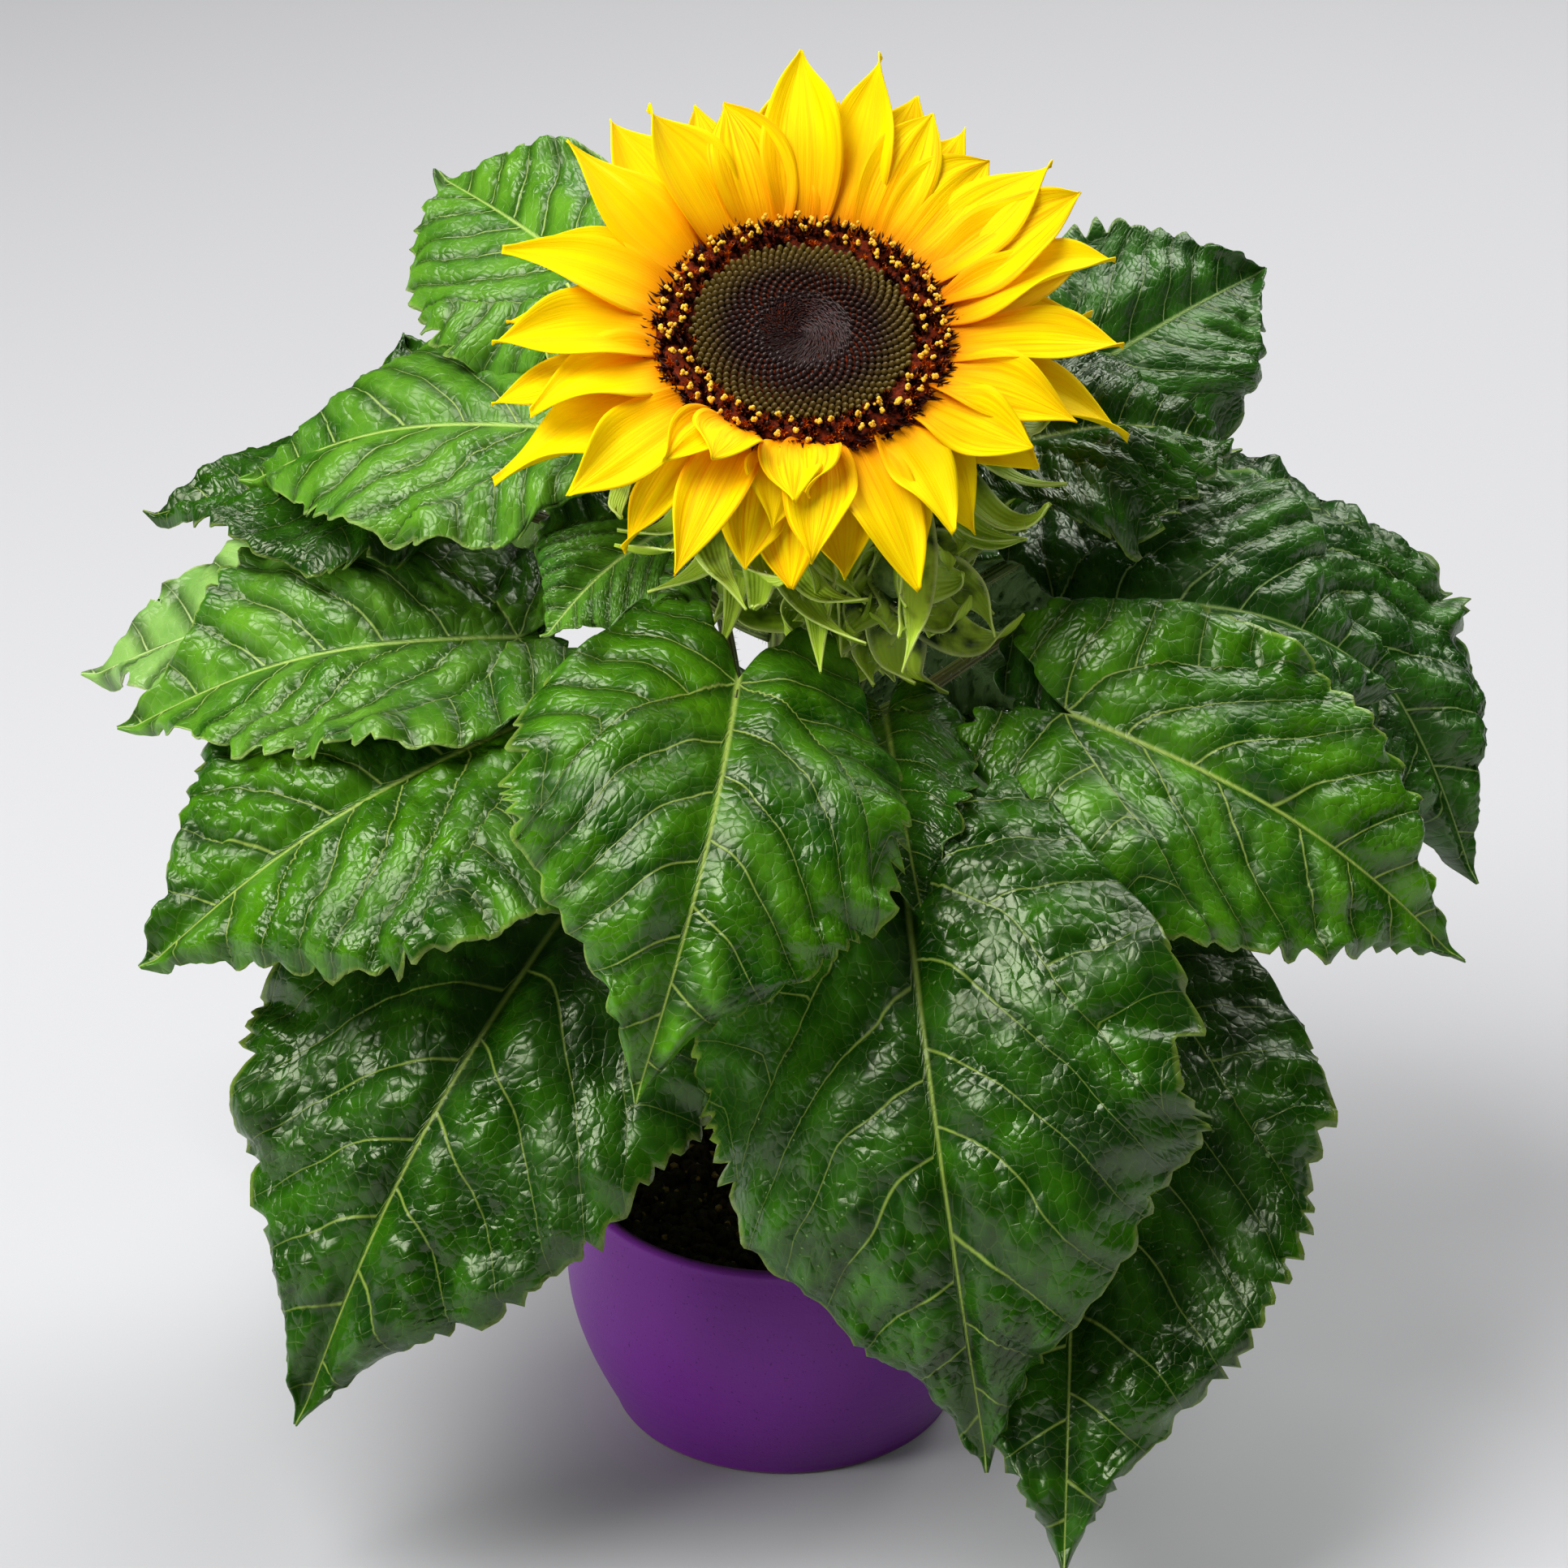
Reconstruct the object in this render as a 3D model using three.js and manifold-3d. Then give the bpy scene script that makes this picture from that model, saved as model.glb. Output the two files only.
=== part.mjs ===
import * as THREE from 'three';
import { mergeVertices } from 'three/addons/utils/BufferGeometryUtils.js';
import Module from 'manifold-3d';

const wasm = await Module();
wasm.setup();

// A dwarf sunflower in a round ceramic pot: one flower head over broad toothed leaves.
// Millimetres, +Z up, origin in the middle of the pot's flat underside. A plan angle runs
// counter-clockwise seen from above: 0 is +X, 90 is +Y, and the flower faces -90.

const CLEAR = 0.3; // gap between pieces that touch
const UP = new THREE.Vector3(0, 0, 1);

// Pot: a bowl, widest low on its side and drawn in again to a thin rim.
const POT = { height: 76, baseRadius: 51, bellyRadius: 65.5, bellyHeight: 46, rimRadius: 61 };
const POT_WALL = 4;
const POT_FLOOR = 6;
const POT_ROUND = 3; // rounding under the foot of the side
const POT_LIP = 1; // drop of the rim's outer edge
const POT_SIDES = 36;

// Soil: fills the pot to a little under the rim.
const SOIL_TOP = 63;
const SOIL_ROUND = 2;
const SOIL_SIDES = 28;

// Stem: tapers from a flared foot on the soil to the neck, then nods into the flower.
const STEM_FOOT_RADIUS = 6.5;
const STEM_TOP_RADIUS = 4.8;
const STEM_FLARE = { extra: 2.5, height: 16 };
const STEM_NECK = new THREE.Vector3(1, 4, 286);
const STEM_NOD = 13; // length of the bend's two handles
const STEM_SIDES = 10;

// Flower: its own +Z looks out of the face, and its own +Y is the top of the face.
const FLOWER_CENTRE = new THREE.Vector3(5, -15, 345);
const FLOWER_TILT = 30; // degrees from level, towards -Y
const FLOWER_TURN = 3; // degrees towards +X
const HEAD_RADIUS = 43;
const HEAD_DEPTH = 24;
const HEAD_SIDES = 24;
const DISC_RADIUS = 40;
const DISC_DOME = 5;
const DISC_SIDES = 30;
const FLORET_RIDGE = { radius: 36, width: 5, rise: 3 };
const DISC_FOOT = -5; // the disc and the petal ring stand at this height on the head

// Petals: two rows round the disc, lifted at the top of the face and hanging at its foot.
const PETAL_ROWS = [
  { count: 17, start: 4, length: 50, lift: 4, seat: 3.8 },
  { count: 16, start: 14, length: 48, lift: -4, seat: 1.2 },
];
const PETAL_WIDTH = 20;
const PETAL_THICKNESS = 1;
const PETAL_ROOT = 2; // how far a petal starts inside the ring's edge
const PETAL_ARCH = 2.5;
const PETAL_CUP = 0.1;
const PETAL_SWING = 24; // degrees of lift at the top of the face, and of droop at its foot
const PETAL_SHORTENING = 0.18; // share of the length lost at the foot of the face
const RING_SIDES = 34;

// Bracts: narrow green blades that curl out from under the petals.
const BRACT_COUNT = 16;
const BRACT_WIDTH = 10;
const BRACT_THICKNESS = 1.2;
const BRACT_ROOT = { radius: 26, height: -12 };
const BRACT_KINDS = [
  { length: 29, droop: 0.9 },
  { length: 34, droop: 0.5 },
];

// Leaves. knee: where the stalk meets the blade. tip: the blade's point. Both are
// [plan angle, reach from the stem, height]. foot: height of the stalk on the stem.
// roll: degrees that the blade leans about its midrib. bow: rise of the midrib, as a share
// of its length. drape: how far the halves hang below the midrib, as a share of their width.
const LEAVES = [
  { name: 'front_centre', knee: [-68, 85, 212], tip: [-70, 160, 68], width: 136, foot: 150,
    roll: 30, bow: 0.16, drape: 0.25 },
  { name: 'front_left', knee: [-100, 66, 268], tip: [-105, 150, 180], width: 104, foot: 205,
    roll: -25, bow: 0.18, drape: 0.2 },
  { name: 'lower_left', knee: [-146, 72, 187], tip: [-140, 178, 59], width: 130, foot: 130,
    roll: -25, bow: 0.14, drape: 0.15 },
  { name: 'left_middle', knee: [-166, 75, 233], tip: [-161, 190, 176], width: 126, foot: 172,
    roll: -20, bow: 0.08, drape: 0.1 },
  { name: 'left_upper', knee: [178, 76, 250], tip: [176, 194, 214], width: 90, foot: 190,
    roll: -24, bow: 0.1, drape: -0.15 },
  { name: 'left_far', knee: [146, 117, 238], tip: [155, 241, 191], width: 100, foot: 180,
    roll: -20, bow: 0.06, drape: 0.1 },
  { name: 'left_dark', knee: [156, 112, 279], tip: [165, 194, 267], width: 72, foot: 262,
    roll: -8, bow: 0.06, drape: 0.15 },
  { name: 'left_light', knee: [170, 60, 310], tip: [163, 166, 277], width: 84, foot: 250,
    roll: -25, bow: 0.1, drape: 0.1 },
  { name: 'left_top', knee: [140, 70, 341], tip: [131, 157, 348], width: 86, foot: 268,
    roll: -25, bow: 0.03, drape: 0.12 },
  { name: 'left_small', knee: [142, 106, 289], tip: [134, 166, 296], width: 55, foot: 256,
    roll: 10, bow: 0, drape: 0.2 },
  { name: 'young_left', knee: [-160, 38, 286], tip: [-150, 70, 273], width: 40, foot: 264,
    roll: 0, bow: 0.1, drape: 0.2 },
  { name: 'right_top', knee: [40, 112, 301], tip: [42, 197, 313], width: 74, foot: 256,
    roll: 45, bow: 0.08, drape: 0.15 },
  { name: 'right_small', knee: [12, 80, 316], tip: [20, 138, 292], width: 50, foot: 262,
    roll: 10, bow: 0.12, drape: 0.2 },
  { name: 'right_upper', knee: [0, 80, 261], tip: [6, 182, 223], width: 104, foot: 218,
    roll: 31, bow: 0.16, drape: 0.2 },
  { name: 'right_front', knee: [-24, 87, 243], tip: [-15, 198, 172], width: 92, foot: 190,
    roll: 42, bow: 0.15, drape: 0.05 },
  { name: 'right_far', knee: [27, 142, 264], tip: [6, 207, 158], width: 100, foot: 238,
    roll: 4, bow: 0.12, drape: 0.15 },
  { name: 'centre_right', knee: [-46, 44, 244], tip: [-68, 105, 212], width: 46, foot: 205,
    roll: 5, bow: 0.1, drape: 0.2 },
  { name: 'right_inner', knee: [56, 58, 230], tip: [36, 80, 208], width: 54, foot: 200,
    roll: -85, bow: 0.08, drape: 0.2 },
  { name: 'lower_right', knee: [-30, 96, 173], tip: [-66, 184, 48], width: 132, foot: 136,
    roll: 0, bow: 0.08, drape: 0.2 },
  { name: 'back_low_left', knee: [136, 84, 190], tip: [138, 165, 86], width: 118, foot: 140,
    roll: 0, bow: 0.14, drape: 0.2 },
  { name: 'back_low_middle', knee: [97, 92, 200], tip: [95, 182, 103], width: 118, foot: 132,
    roll: 0, bow: 0.14, drape: 0.2 },
  { name: 'back_low_right', knee: [56, 86, 192], tip: [54, 166, 84], width: 122, foot: 145,
    roll: 0, bow: 0.14, drape: 0.2 },
  { name: 'back_middle_left', knee: [110, 70, 250], tip: [114, 175, 184], width: 110, foot: 172,
    roll: 0, bow: 0.12, drape: 0.2 },
  { name: 'back_middle_right', knee: [74, 72, 262], tip: [68, 168, 196], width: 108, foot: 210,
    roll: 0, bow: 0.12, drape: 0.2 },
  { name: 'back_upper_left', knee: [104, 64, 292], tip: [108, 146, 256], width: 72, foot: 240,
    roll: 0, bow: 0.12, drape: 0.2 },
  { name: 'back_top', knee: [84, 60, 326], tip: [80, 146, 302], width: 84, foot: 258,
    roll: 0, bow: 0.1, drape: 0.2 },
];
const LEAF_THICKNESS = 1.8;
const LEAF_LOBE = 0.16; // how far the two lobes reach back past the knee, as a share of the length
const LEAF_TOOTH = 0.05; // depth of a tooth, as a share of the half width
const BROAD_LEAF = { width: 90, teeth: 6 };
const NARROW_LEAF_TEETH = 4;
const STALK = { footRadius: 2.6, kneeRadius: 1.9, sides: 5, steps: 5, sink: 0.07 };
const BLADE_POINT = 0.98; // a blade is cut this far along, so that its point keeps some width

const FINISH = {
  pot: { color: 0x5b2a7a, roughness: 0.45 },
  soil: { color: 0x2a1c12, roughness: 1 },
  stem: { color: 0x6f7d3c, roughness: 0.8 },
  leaf: { color: 0x2f6b22, roughness: 0.45 },
  head: { color: 0x66803a, roughness: 0.8 },
  disc: { color: 0x2e1a16, roughness: 0.9 },
  petal: { color: 0xf7c400, roughness: 0.6 },
};

const radians = THREE.MathUtils.degToRad;
const plant = new THREE.Group();

function mesh(name, geometry, finish) {
  const piece = new THREE.Mesh(geometry, new THREE.MeshStandardMaterial(FINISH[finish]));
  piece.name = name;
  return piece;
}

function polar([angle, reach, height]) {
  const turn = radians(angle);
  return new THREE.Vector3(reach * Math.cos(turn), reach * Math.sin(turn), height);
}

function solid(geometry) {
  const bare = geometry.clone();
  bare.deleteAttribute('normal');
  bare.deleteAttribute('uv');
  const merged = mergeVertices(bare, 1e-3);
  return new wasm.Manifold(new wasm.Mesh({
    numProp: 3,
    vertProperties: new Float32Array(merged.attributes.position.array),
    triVerts: new Uint32Array(merged.index.array),
  }));
}

function joined(geometries) {
  const whole = geometries.map(solid).reduce((sum, next) => sum.add(next));
  const { vertProperties, triVerts } = whole.getMesh();
  const geometry = new THREE.BufferGeometry();
  geometry.setAttribute('position', new THREE.BufferAttribute(vertProperties, 3));
  geometry.setIndex(new THREE.BufferAttribute(triVerts, 1));
  return geometry;
}

// A body of revolution about +Z, from a profile of [radius, height] points.
function lathe(profile, sides) {
  const points = profile.map(([radius, height]) => new THREE.Vector2(radius, height));
  return new THREE.LatheGeometry(points, sides).rotateX(Math.PI / 2);
}

// A closed body through rings of points, all with the same count. Each end is closed by a
// ladder of faces between the two halves of its ring, so a thin bent end stays thin.
function loft(rings) {
  const sides = rings[0].length;
  const faces = [];
  for (let ring = 0; ring + 1 < rings.length; ring += 1) {
    for (let side = 0; side < sides; side += 1) {
      const a = ring * sides + side;
      const b = ring * sides + (side + 1) % sides;
      faces.push(a, b, b + sides, a, b + sides, a + sides);
    }
  }
  const last = (rings.length - 1) * sides;
  let low = 0;
  let high = sides - 1;
  while (low + 1 < high) {
    faces.push(low, high, low + 1, last + low, last + low + 1, last + high);
    low += 1;
    if (low + 1 < high) {
      faces.push(low, high, high - 1, last + low, last + high - 1, last + high);
      high -= 1;
    }
  }
  const positions = rings.flat().flatMap((point) => point.toArray());
  const geometry = new THREE.BufferGeometry();
  geometry.setAttribute('position', new THREE.Float32BufferAttribute(positions, 3));
  geometry.setIndex(faces);
  return geometry;
}

// A round limb along a curve. radiusAt(share of the way, centre) gives its taper.
function limb(curve, steps, sides, radiusAt) {
  const frames = curve.computeFrenetFrames(steps, false);
  const rings = [];
  for (let step = 0; step <= steps; step += 1) {
    const centre = curve.getPointAt(step / steps);
    const radius = radiusAt(step / steps, centre);
    const ring = [];
    for (let side = 0; side < sides; side += 1) {
      const angle = 2 * Math.PI * side / sides;
      ring.push(centre.clone()
        .addScaledVector(frames.normals[step], radius * Math.cos(angle))
        .addScaledVector(frames.binormals[step], radius * Math.sin(angle)));
    }
    rings.push(ring);
  }
  return loft(rings);
}

function bladeNormal(point, u, v) {
  const step = 0.02;
  const along = point(Math.min(u + step, 1), v).sub(point(Math.max(u - step, 0), v));
  const across = point(u, Math.min(v + step, 1)).sub(point(u, Math.max(v - step, -1)));
  return across.cross(along).normalize();
}

// A thin closed blade over the surface point(u, v), u from 0 to 1 and v from -1 to 1. Each
// cross-section is one ring, out along the upper side and back along the lower side.
function blade(point, steps, strips, thickness) {
  const rings = [];
  for (let step = 0; step <= steps; step += 1) {
    const u = step / steps;
    const upper = [];
    const lower = [];
    for (let strip = 0; strip <= strips; strip += 1) {
      const v = 2 * strip / strips - 1;
      const half = bladeNormal(point, u, v).multiplyScalar(thickness / 2);
      upper.push(point(u, v).add(half));
      lower.unshift(point(u, v).sub(half));
    }
    rings.push([...upper, ...lower]);
  }
  return loft(rings);
}

// Pot and soil

function potRadius(height) {
  const { baseRadius, bellyRadius, bellyHeight, rimRadius } = POT;
  if (height < bellyHeight) {
    return baseRadius + (bellyRadius - baseRadius) * Math.sin((Math.PI / 2) * height / bellyHeight);
  }
  const above = (height - bellyHeight) / (POT.height - bellyHeight);
  return bellyRadius - (bellyRadius - rimRadius) * above ** 2;
}

// Points up the pot's side between two heights, inset from its outer face.
function potSide(low, high, inset, steps) {
  const points = [];
  for (let step = 0; step <= steps; step += 1) {
    const height = low + (high - low) * step / steps;
    points.push([potRadius(height) - inset, height]);
  }
  return points;
}

function buildPot() {
  const profile = [
    [0, 0],
    [POT.baseRadius - POT_ROUND, 0],
    ...potSide(POT_ROUND, POT.height - POT_LIP, 0, 6),
    [POT.rimRadius - POT_WALL / 2, POT.height],
    ...potSide(POT_FLOOR, POT.height - POT_LIP, POT_WALL, 6).reverse(),
    [0, POT_FLOOR],
  ];
  plant.add(mesh('pot', lathe(profile, POT_SIDES), 'pot'));
}

function buildSoil() {
  const floor = POT_FLOOR + CLEAR;
  const inset = POT_WALL + 3 * CLEAR;
  const profile = [
    [0, floor],
    ...potSide(floor, SOIL_TOP - SOIL_ROUND, inset, 5),
    [potRadius(SOIL_TOP) - inset - SOIL_ROUND, SOIL_TOP],
    [0, SOIL_TOP],
  ];
  plant.add(mesh('soil', lathe(profile, SOIL_SIDES), 'soil'));
}

// Stem

const flowerTurn = new THREE.Euler(radians(FLOWER_TILT), radians(FLOWER_TURN), 0);
const flowerAxis = UP.clone().applyEuler(flowerTurn);
const stemFoot = new THREE.Vector3(0, 0, SOIL_TOP + 2 * CLEAR);
const stemTop = FLOWER_CENTRE.clone().addScaledVector(flowerAxis, -HEAD_DEPTH - CLEAR);

function stemRadius(height) {
  const share = (height - stemFoot.z) / (stemTop.z - stemFoot.z);
  const flare = Math.max(0, 1 - (height - stemFoot.z) / STEM_FLARE.height);
  return STEM_FOOT_RADIUS + (STEM_TOP_RADIUS - STEM_FOOT_RADIUS) * share
    + STEM_FLARE.extra * flare ** 2;
}

function stemCentre(height) {
  return stemFoot.clone().lerp(STEM_NECK, (height - stemFoot.z) / (STEM_NECK.z - stemFoot.z));
}

function buildStem() {
  const path = new THREE.CurvePath();
  path.add(new THREE.LineCurve3(stemFoot, STEM_NECK));
  path.add(new THREE.CubicBezierCurve3(
    STEM_NECK,
    STEM_NECK.clone().addScaledVector(UP, STEM_NOD),
    stemTop.clone().addScaledVector(flowerAxis, -STEM_NOD),
    stemTop,
  ));
  const geometry = limb(path, 14, STEM_SIDES, (share, centre) => stemRadius(centre.z));
  plant.add(mesh('stem', geometry, 'stem'));
}

// Leaves

// Half width of a leaf blade at u, as a share of the greatest half width: a broad heart that
// draws out to a point.
function heart(u) {
  return (1 - u ** 1.8) ** 1.3 * (0.9 + u);
}

// The blade's surface: u runs from the knee to the tip, v from one edge to the other.
function leafSurface({ knee, tip, width, roll, bow, drape }, teeth) {
  const start = polar(knee);
  const along = polar(tip).sub(start);
  const length = along.length();
  along.normalize();
  const out = UP.clone().addScaledVector(along, -UP.dot(along)).normalize();
  out.applyAxisAngle(along, radians(roll));
  const side = along.clone().cross(out);
  return (u, v) => {
    const share = Math.min(u, BLADE_POINT);
    const slope = bow * Math.PI * Math.cos(Math.PI * share);
    const forward = along.clone().addScaledVector(out, slope).normalize();
    const above = out.clone().addScaledVector(along, -slope).normalize();
    const tooth = Math.round(2 * teeth * u) % 2 ? LEAF_TOOTH : -LEAF_TOOTH;
    const half = (width / 2) * heart(share) * (Math.abs(v) > 0.9 ? 1 + tooth : 1);
    const lobe = Math.sin(Math.PI * Math.abs(v)) ** 0.8 * (1 - share) ** 3;
    return start.clone()
      .addScaledVector(along, length * share)
      .addScaledVector(out, bow * length * Math.sin(Math.PI * share))
      .addScaledVector(forward, -LEAF_LOBE * length * lobe)
      .addScaledVector(side, v * half)
      .addScaledVector(above, -half * drape * v * v);
  };
}

// The stalk leaves the stem square to it, and sinks into the blade along the midrib.
function stalk({ knee, foot }, surface) {
  const outward = polar([knee[0], 1, 0]);
  const start = stemCentre(foot).addScaledVector(outward, stemRadius(foot) + CLEAR);
  const end = surface(STALK.sink, 0);
  const into = surface(2 * STALK.sink, 0).sub(end).normalize();
  const span = start.distanceTo(end);
  const curve = new THREE.CubicBezierCurve3(
    start,
    start.clone().addScaledVector(outward, 0.35 * span),
    end.clone().addScaledVector(into, -0.3 * span),
    end,
  );
  const radiusAt = (share) => THREE.MathUtils.lerp(STALK.footRadius, STALK.kneeRadius, share);
  return limb(curve, STALK.steps, STALK.sides, radiusAt);
}

function buildLeaf(leaf) {
  const teeth = leaf.width > BROAD_LEAF.width ? BROAD_LEAF.teeth : NARROW_LEAF_TEETH;
  const surface = leafSurface(leaf, teeth);
  const thin = blade(surface, 2 * teeth, 4, LEAF_THICKNESS);
  plant.add(mesh(`leaf_${leaf.name}`, joined([thin, stalk(leaf, surface)]), 'leaf'));
}

// Flower

const flower = new THREE.Group();
flower.position.copy(FLOWER_CENTRE);
flower.rotation.copy(flowerTurn);
plant.add(flower);

function bractSurface(angle, { length, droop }) {
  const outward = polar([angle, 1, 0]);
  const side = outward.clone().cross(UP);
  return (u, v) => {
    const share = Math.min(u, BLADE_POINT);
    const half = (BRACT_WIDTH / 2) * (1 - share) ** 0.8 * (1 + share);
    return outward.clone().multiplyScalar(BRACT_ROOT.radius + length * share)
      .addScaledVector(side, v * half)
      .addScaledVector(UP, BRACT_ROOT.height - droop * length * share ** 2);
  };
}

function buildHead() {
  const profile = [
    [0, -HEAD_DEPTH],
    [STEM_TOP_RADIUS + 1, -HEAD_DEPTH],
    [STEM_TOP_RADIUS + 6, -0.8 * HEAD_DEPTH],
    [0.62 * HEAD_RADIUS, -0.55 * HEAD_DEPTH],
    [0.88 * HEAD_RADIUS, -0.35 * HEAD_DEPTH],
    [HEAD_RADIUS, DISC_FOOT - CLEAR],
    [0, DISC_FOOT - CLEAR],
  ];
  const pieces = [lathe(profile, HEAD_SIDES)];
  for (let bract = 0; bract < BRACT_COUNT; bract += 1) {
    const kind = BRACT_KINDS[bract % BRACT_KINDS.length];
    const surface = bractSurface(360 * bract / BRACT_COUNT, kind);
    pieces.push(blade(surface, 3, 2, BRACT_THICKNESS));
  }
  flower.add(mesh('flower_head', joined(pieces), 'head'));
}

function buildDisc() {
  const { radius, width, rise } = FLORET_RIDGE;
  const steps = 6;
  const top = [];
  for (let step = steps; step >= 0; step -= 1) {
    const reach = DISC_RADIUS * step / steps;
    const ridge = rise * Math.exp(-(((reach - radius) / width) ** 2));
    top.push([reach, DISC_DOME * (1 - (reach / DISC_RADIUS) ** 2) + ridge]);
  }
  const profile = [[0, DISC_FOOT], [DISC_RADIUS, DISC_FOOT], ...top];
  flower.add(mesh('flower_disc', lathe(profile, DISC_SIDES), 'disc'));
}

// A petal's surface: u runs from the root to the point, v across it.
function petalSurface(angle, length, lift, seat) {
  const outward = polar([angle, 1, 0]);
  const side = outward.clone().cross(UP);
  const root = HEAD_RADIUS - PETAL_ROOT;
  return (u, v) => {
    const share = Math.min(u, BLADE_POINT);
    const half = (PETAL_WIDTH / 2) * (0.46 + 1.65 * share) * (1 - share ** 2.2) ** 0.9;
    const rise = Math.sin(radians(lift)) * length * share + PETAL_ARCH * Math.sin(Math.PI * share);
    return outward.clone().multiplyScalar(root + Math.cos(radians(lift)) * length * share)
      .addScaledVector(side, v * half)
      .addScaledVector(UP, DISC_FOOT + seat + rise + PETAL_CUP * half * v * v);
  };
}

function buildPetals() {
  const inner = DISC_RADIUS + CLEAR;
  const section = [[inner, DISC_FOOT], [HEAD_RADIUS, DISC_FOOT], [HEAD_RADIUS, 0], [inner, 0]];
  const pieces = [lathe([...section, section[0]], RING_SIDES)];
  for (const { count, start, length, lift, seat } of PETAL_ROWS) {
    for (let petal = 0; petal < count; petal += 1) {
      const angle = start + 360 * petal / count;
      const height = Math.sin(radians(angle)); // 1 at the top of the face, -1 at its foot
      const reach = length * (1 + PETAL_SHORTENING * Math.min(0, height));
      const surface = petalSurface(angle, reach, lift + PETAL_SWING * height, seat);
      pieces.push(blade(surface, 5, 2, PETAL_THICKNESS));
    }
  }
  flower.add(mesh('ray_petals', joined(pieces), 'petal'));
}

buildPot();
buildSoil();
buildStem();
LEAVES.forEach(buildLeaf);
buildHead();
buildDisc();
buildPetals();

export default plant;
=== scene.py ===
"""A dwarf sunflower in a round purple pot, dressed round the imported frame.

Sizes are in millimetres in the frame's own axes: x to the right, y away from the
flower's face, z up. They turn to metres where a mesh is made. A plan angle runs
counter-clockwise seen from above, from the x axis.
"""

import logging
import math
from dataclasses import dataclass, field
from enum import Enum
from typing import Any, Sequence

import bpy
import numpy as np
from bpy.types import Material, Node, NodeSocket, NodeTree, Object
from mathutils import Matrix, Vector


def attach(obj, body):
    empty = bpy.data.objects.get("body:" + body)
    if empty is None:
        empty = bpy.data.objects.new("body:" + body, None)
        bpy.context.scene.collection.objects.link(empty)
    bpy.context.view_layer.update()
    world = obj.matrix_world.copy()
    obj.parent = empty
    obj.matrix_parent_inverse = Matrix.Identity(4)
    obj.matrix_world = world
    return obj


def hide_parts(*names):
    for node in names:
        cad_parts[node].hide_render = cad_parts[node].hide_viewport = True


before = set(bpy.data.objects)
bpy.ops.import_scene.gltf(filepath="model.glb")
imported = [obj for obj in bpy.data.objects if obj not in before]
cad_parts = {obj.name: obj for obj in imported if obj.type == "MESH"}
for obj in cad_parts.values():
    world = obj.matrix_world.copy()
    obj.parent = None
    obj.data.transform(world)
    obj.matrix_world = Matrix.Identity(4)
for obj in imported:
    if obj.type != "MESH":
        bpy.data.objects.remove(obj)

log = logging.getLogger("sunflower")

MM = 0.001
CLEAR = 0.3
GOLDEN_ANGLE = math.pi * (3 - math.sqrt(5))
RIBS_ROUND = 7  # shallow ribs round a stem or a stalk
UP = np.array([0.0, 0.0, 1.0])

Array = np.ndarray
Maps = dict[str, Array]
Triple = tuple[float, float, float]

BUD_PLACE: Triple = (28.0, -24.0, 279.0)


# Small tools

def linear(hex_colour: str) -> tuple[float, float, float, float]:
    """Turns an sRGB hex colour into a linear one.

    Args:
        hex_colour: six hex digits.

    Returns:
        Red, green, blue and an alpha of one.
    """
    parts = [int(hex_colour[i:i + 2], 16) / 255 for i in (0, 2, 4)]
    red, green, blue = (c / 12.92 if c <= 0.04045 else ((c + 0.055) / 1.055) ** 2.4 for c in parts)
    return red, green, blue, 1.0


def add_node(
    tree: NodeTree, kind: str, inputs: dict[int | str, Any] | None = None, **settings: Any
) -> Node:
    """Adds a node with its settings, its values and its links.

    Args:
        tree: the node tree to add to.
        kind: Blender's name of the node type, without "ShaderNode".
        inputs: by socket, a plain value, a socket to link from, or a node whose first output
            is linked.
        **settings: the node's own properties.

    Returns:
        The new node.
    """
    node = tree.nodes.new("ShaderNode" + kind)
    for name, value in settings.items():
        setattr(node, name, value)
    feed(node, inputs or {})
    return node


def feed(node: Node, inputs: dict[int | str, Any]) -> None:
    """Gives a node its values and links.

    Args:
        node: takes them.
        inputs: as for add_node.
    """
    for socket, value in inputs.items():
        if isinstance(value, Node):
            value = value.outputs[0]
        if isinstance(value, NodeSocket):
            node.id_data.links.new(value, node.inputs[socket])
        else:
            node.inputs[socket].default_value = value


def lattice_noise(x: Array, y: Array, seed: int) -> Array:
    """Smooth random values on the plane, one bump to each unit square.

    Args:
        x: first coordinate.
        y: second coordinate.
        seed: picks the pattern.

    Returns:
        Values from -1 to 1.
    """
    table = np.random.default_rng(seed).uniform(-1, 1, (64, 64))
    left = np.floor(x).astype(int)
    low = np.floor(y).astype(int)
    fx = x - left
    fy = y - low
    fx = fx * fx * (3 - 2 * fx)
    fy = fy * fy * (3 - 2 * fy)
    corner = [[table[(left + i) % 64, (low + j) % 64] for j in (0, 1)] for i in (0, 1)]
    first = corner[0][0] * (1 - fy) + corner[0][1] * fy
    second = corner[1][0] * (1 - fy) + corner[1][1] * fy
    return first * (1 - fx) + second * fx


def cushions(x: Array, y: Array, seed: int) -> Array:
    """Uneven cushions on the plane with creases between them, about one to a unit square.

    Args:
        x: first coordinate.
        y: second coordinate.
        seed: picks the pattern.

    Returns:
        Values from 0 in the creases to 1 on the crowns.
    """
    table = np.random.default_rng(seed).uniform(0, 1, (64, 64, 2))
    left = np.floor(x).astype(int)
    low = np.floor(y).astype(int)
    gaps = []
    for i in (-1, 0, 1):
        for j in (-1, 0, 1):
            own = table[(left + i) % 64, (low + j) % 64]
            gaps.append(np.hypot(left + i + own[..., 0] - x, low + j + own[..., 1] - y))
    nearest = np.sort(np.stack(gaps), axis=0)
    return np.clip((nearest[1] - nearest[0]) * 1.7, 0, 1) ** 0.6


def smooth_step(low: float, high: float, value: Array) -> Array:
    """Goes smoothly from 0 at low to 1 at high."""
    share = np.clip((value - low) / (high - low), 0, 1)
    return share * share * (3 - 2 * share)


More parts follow.
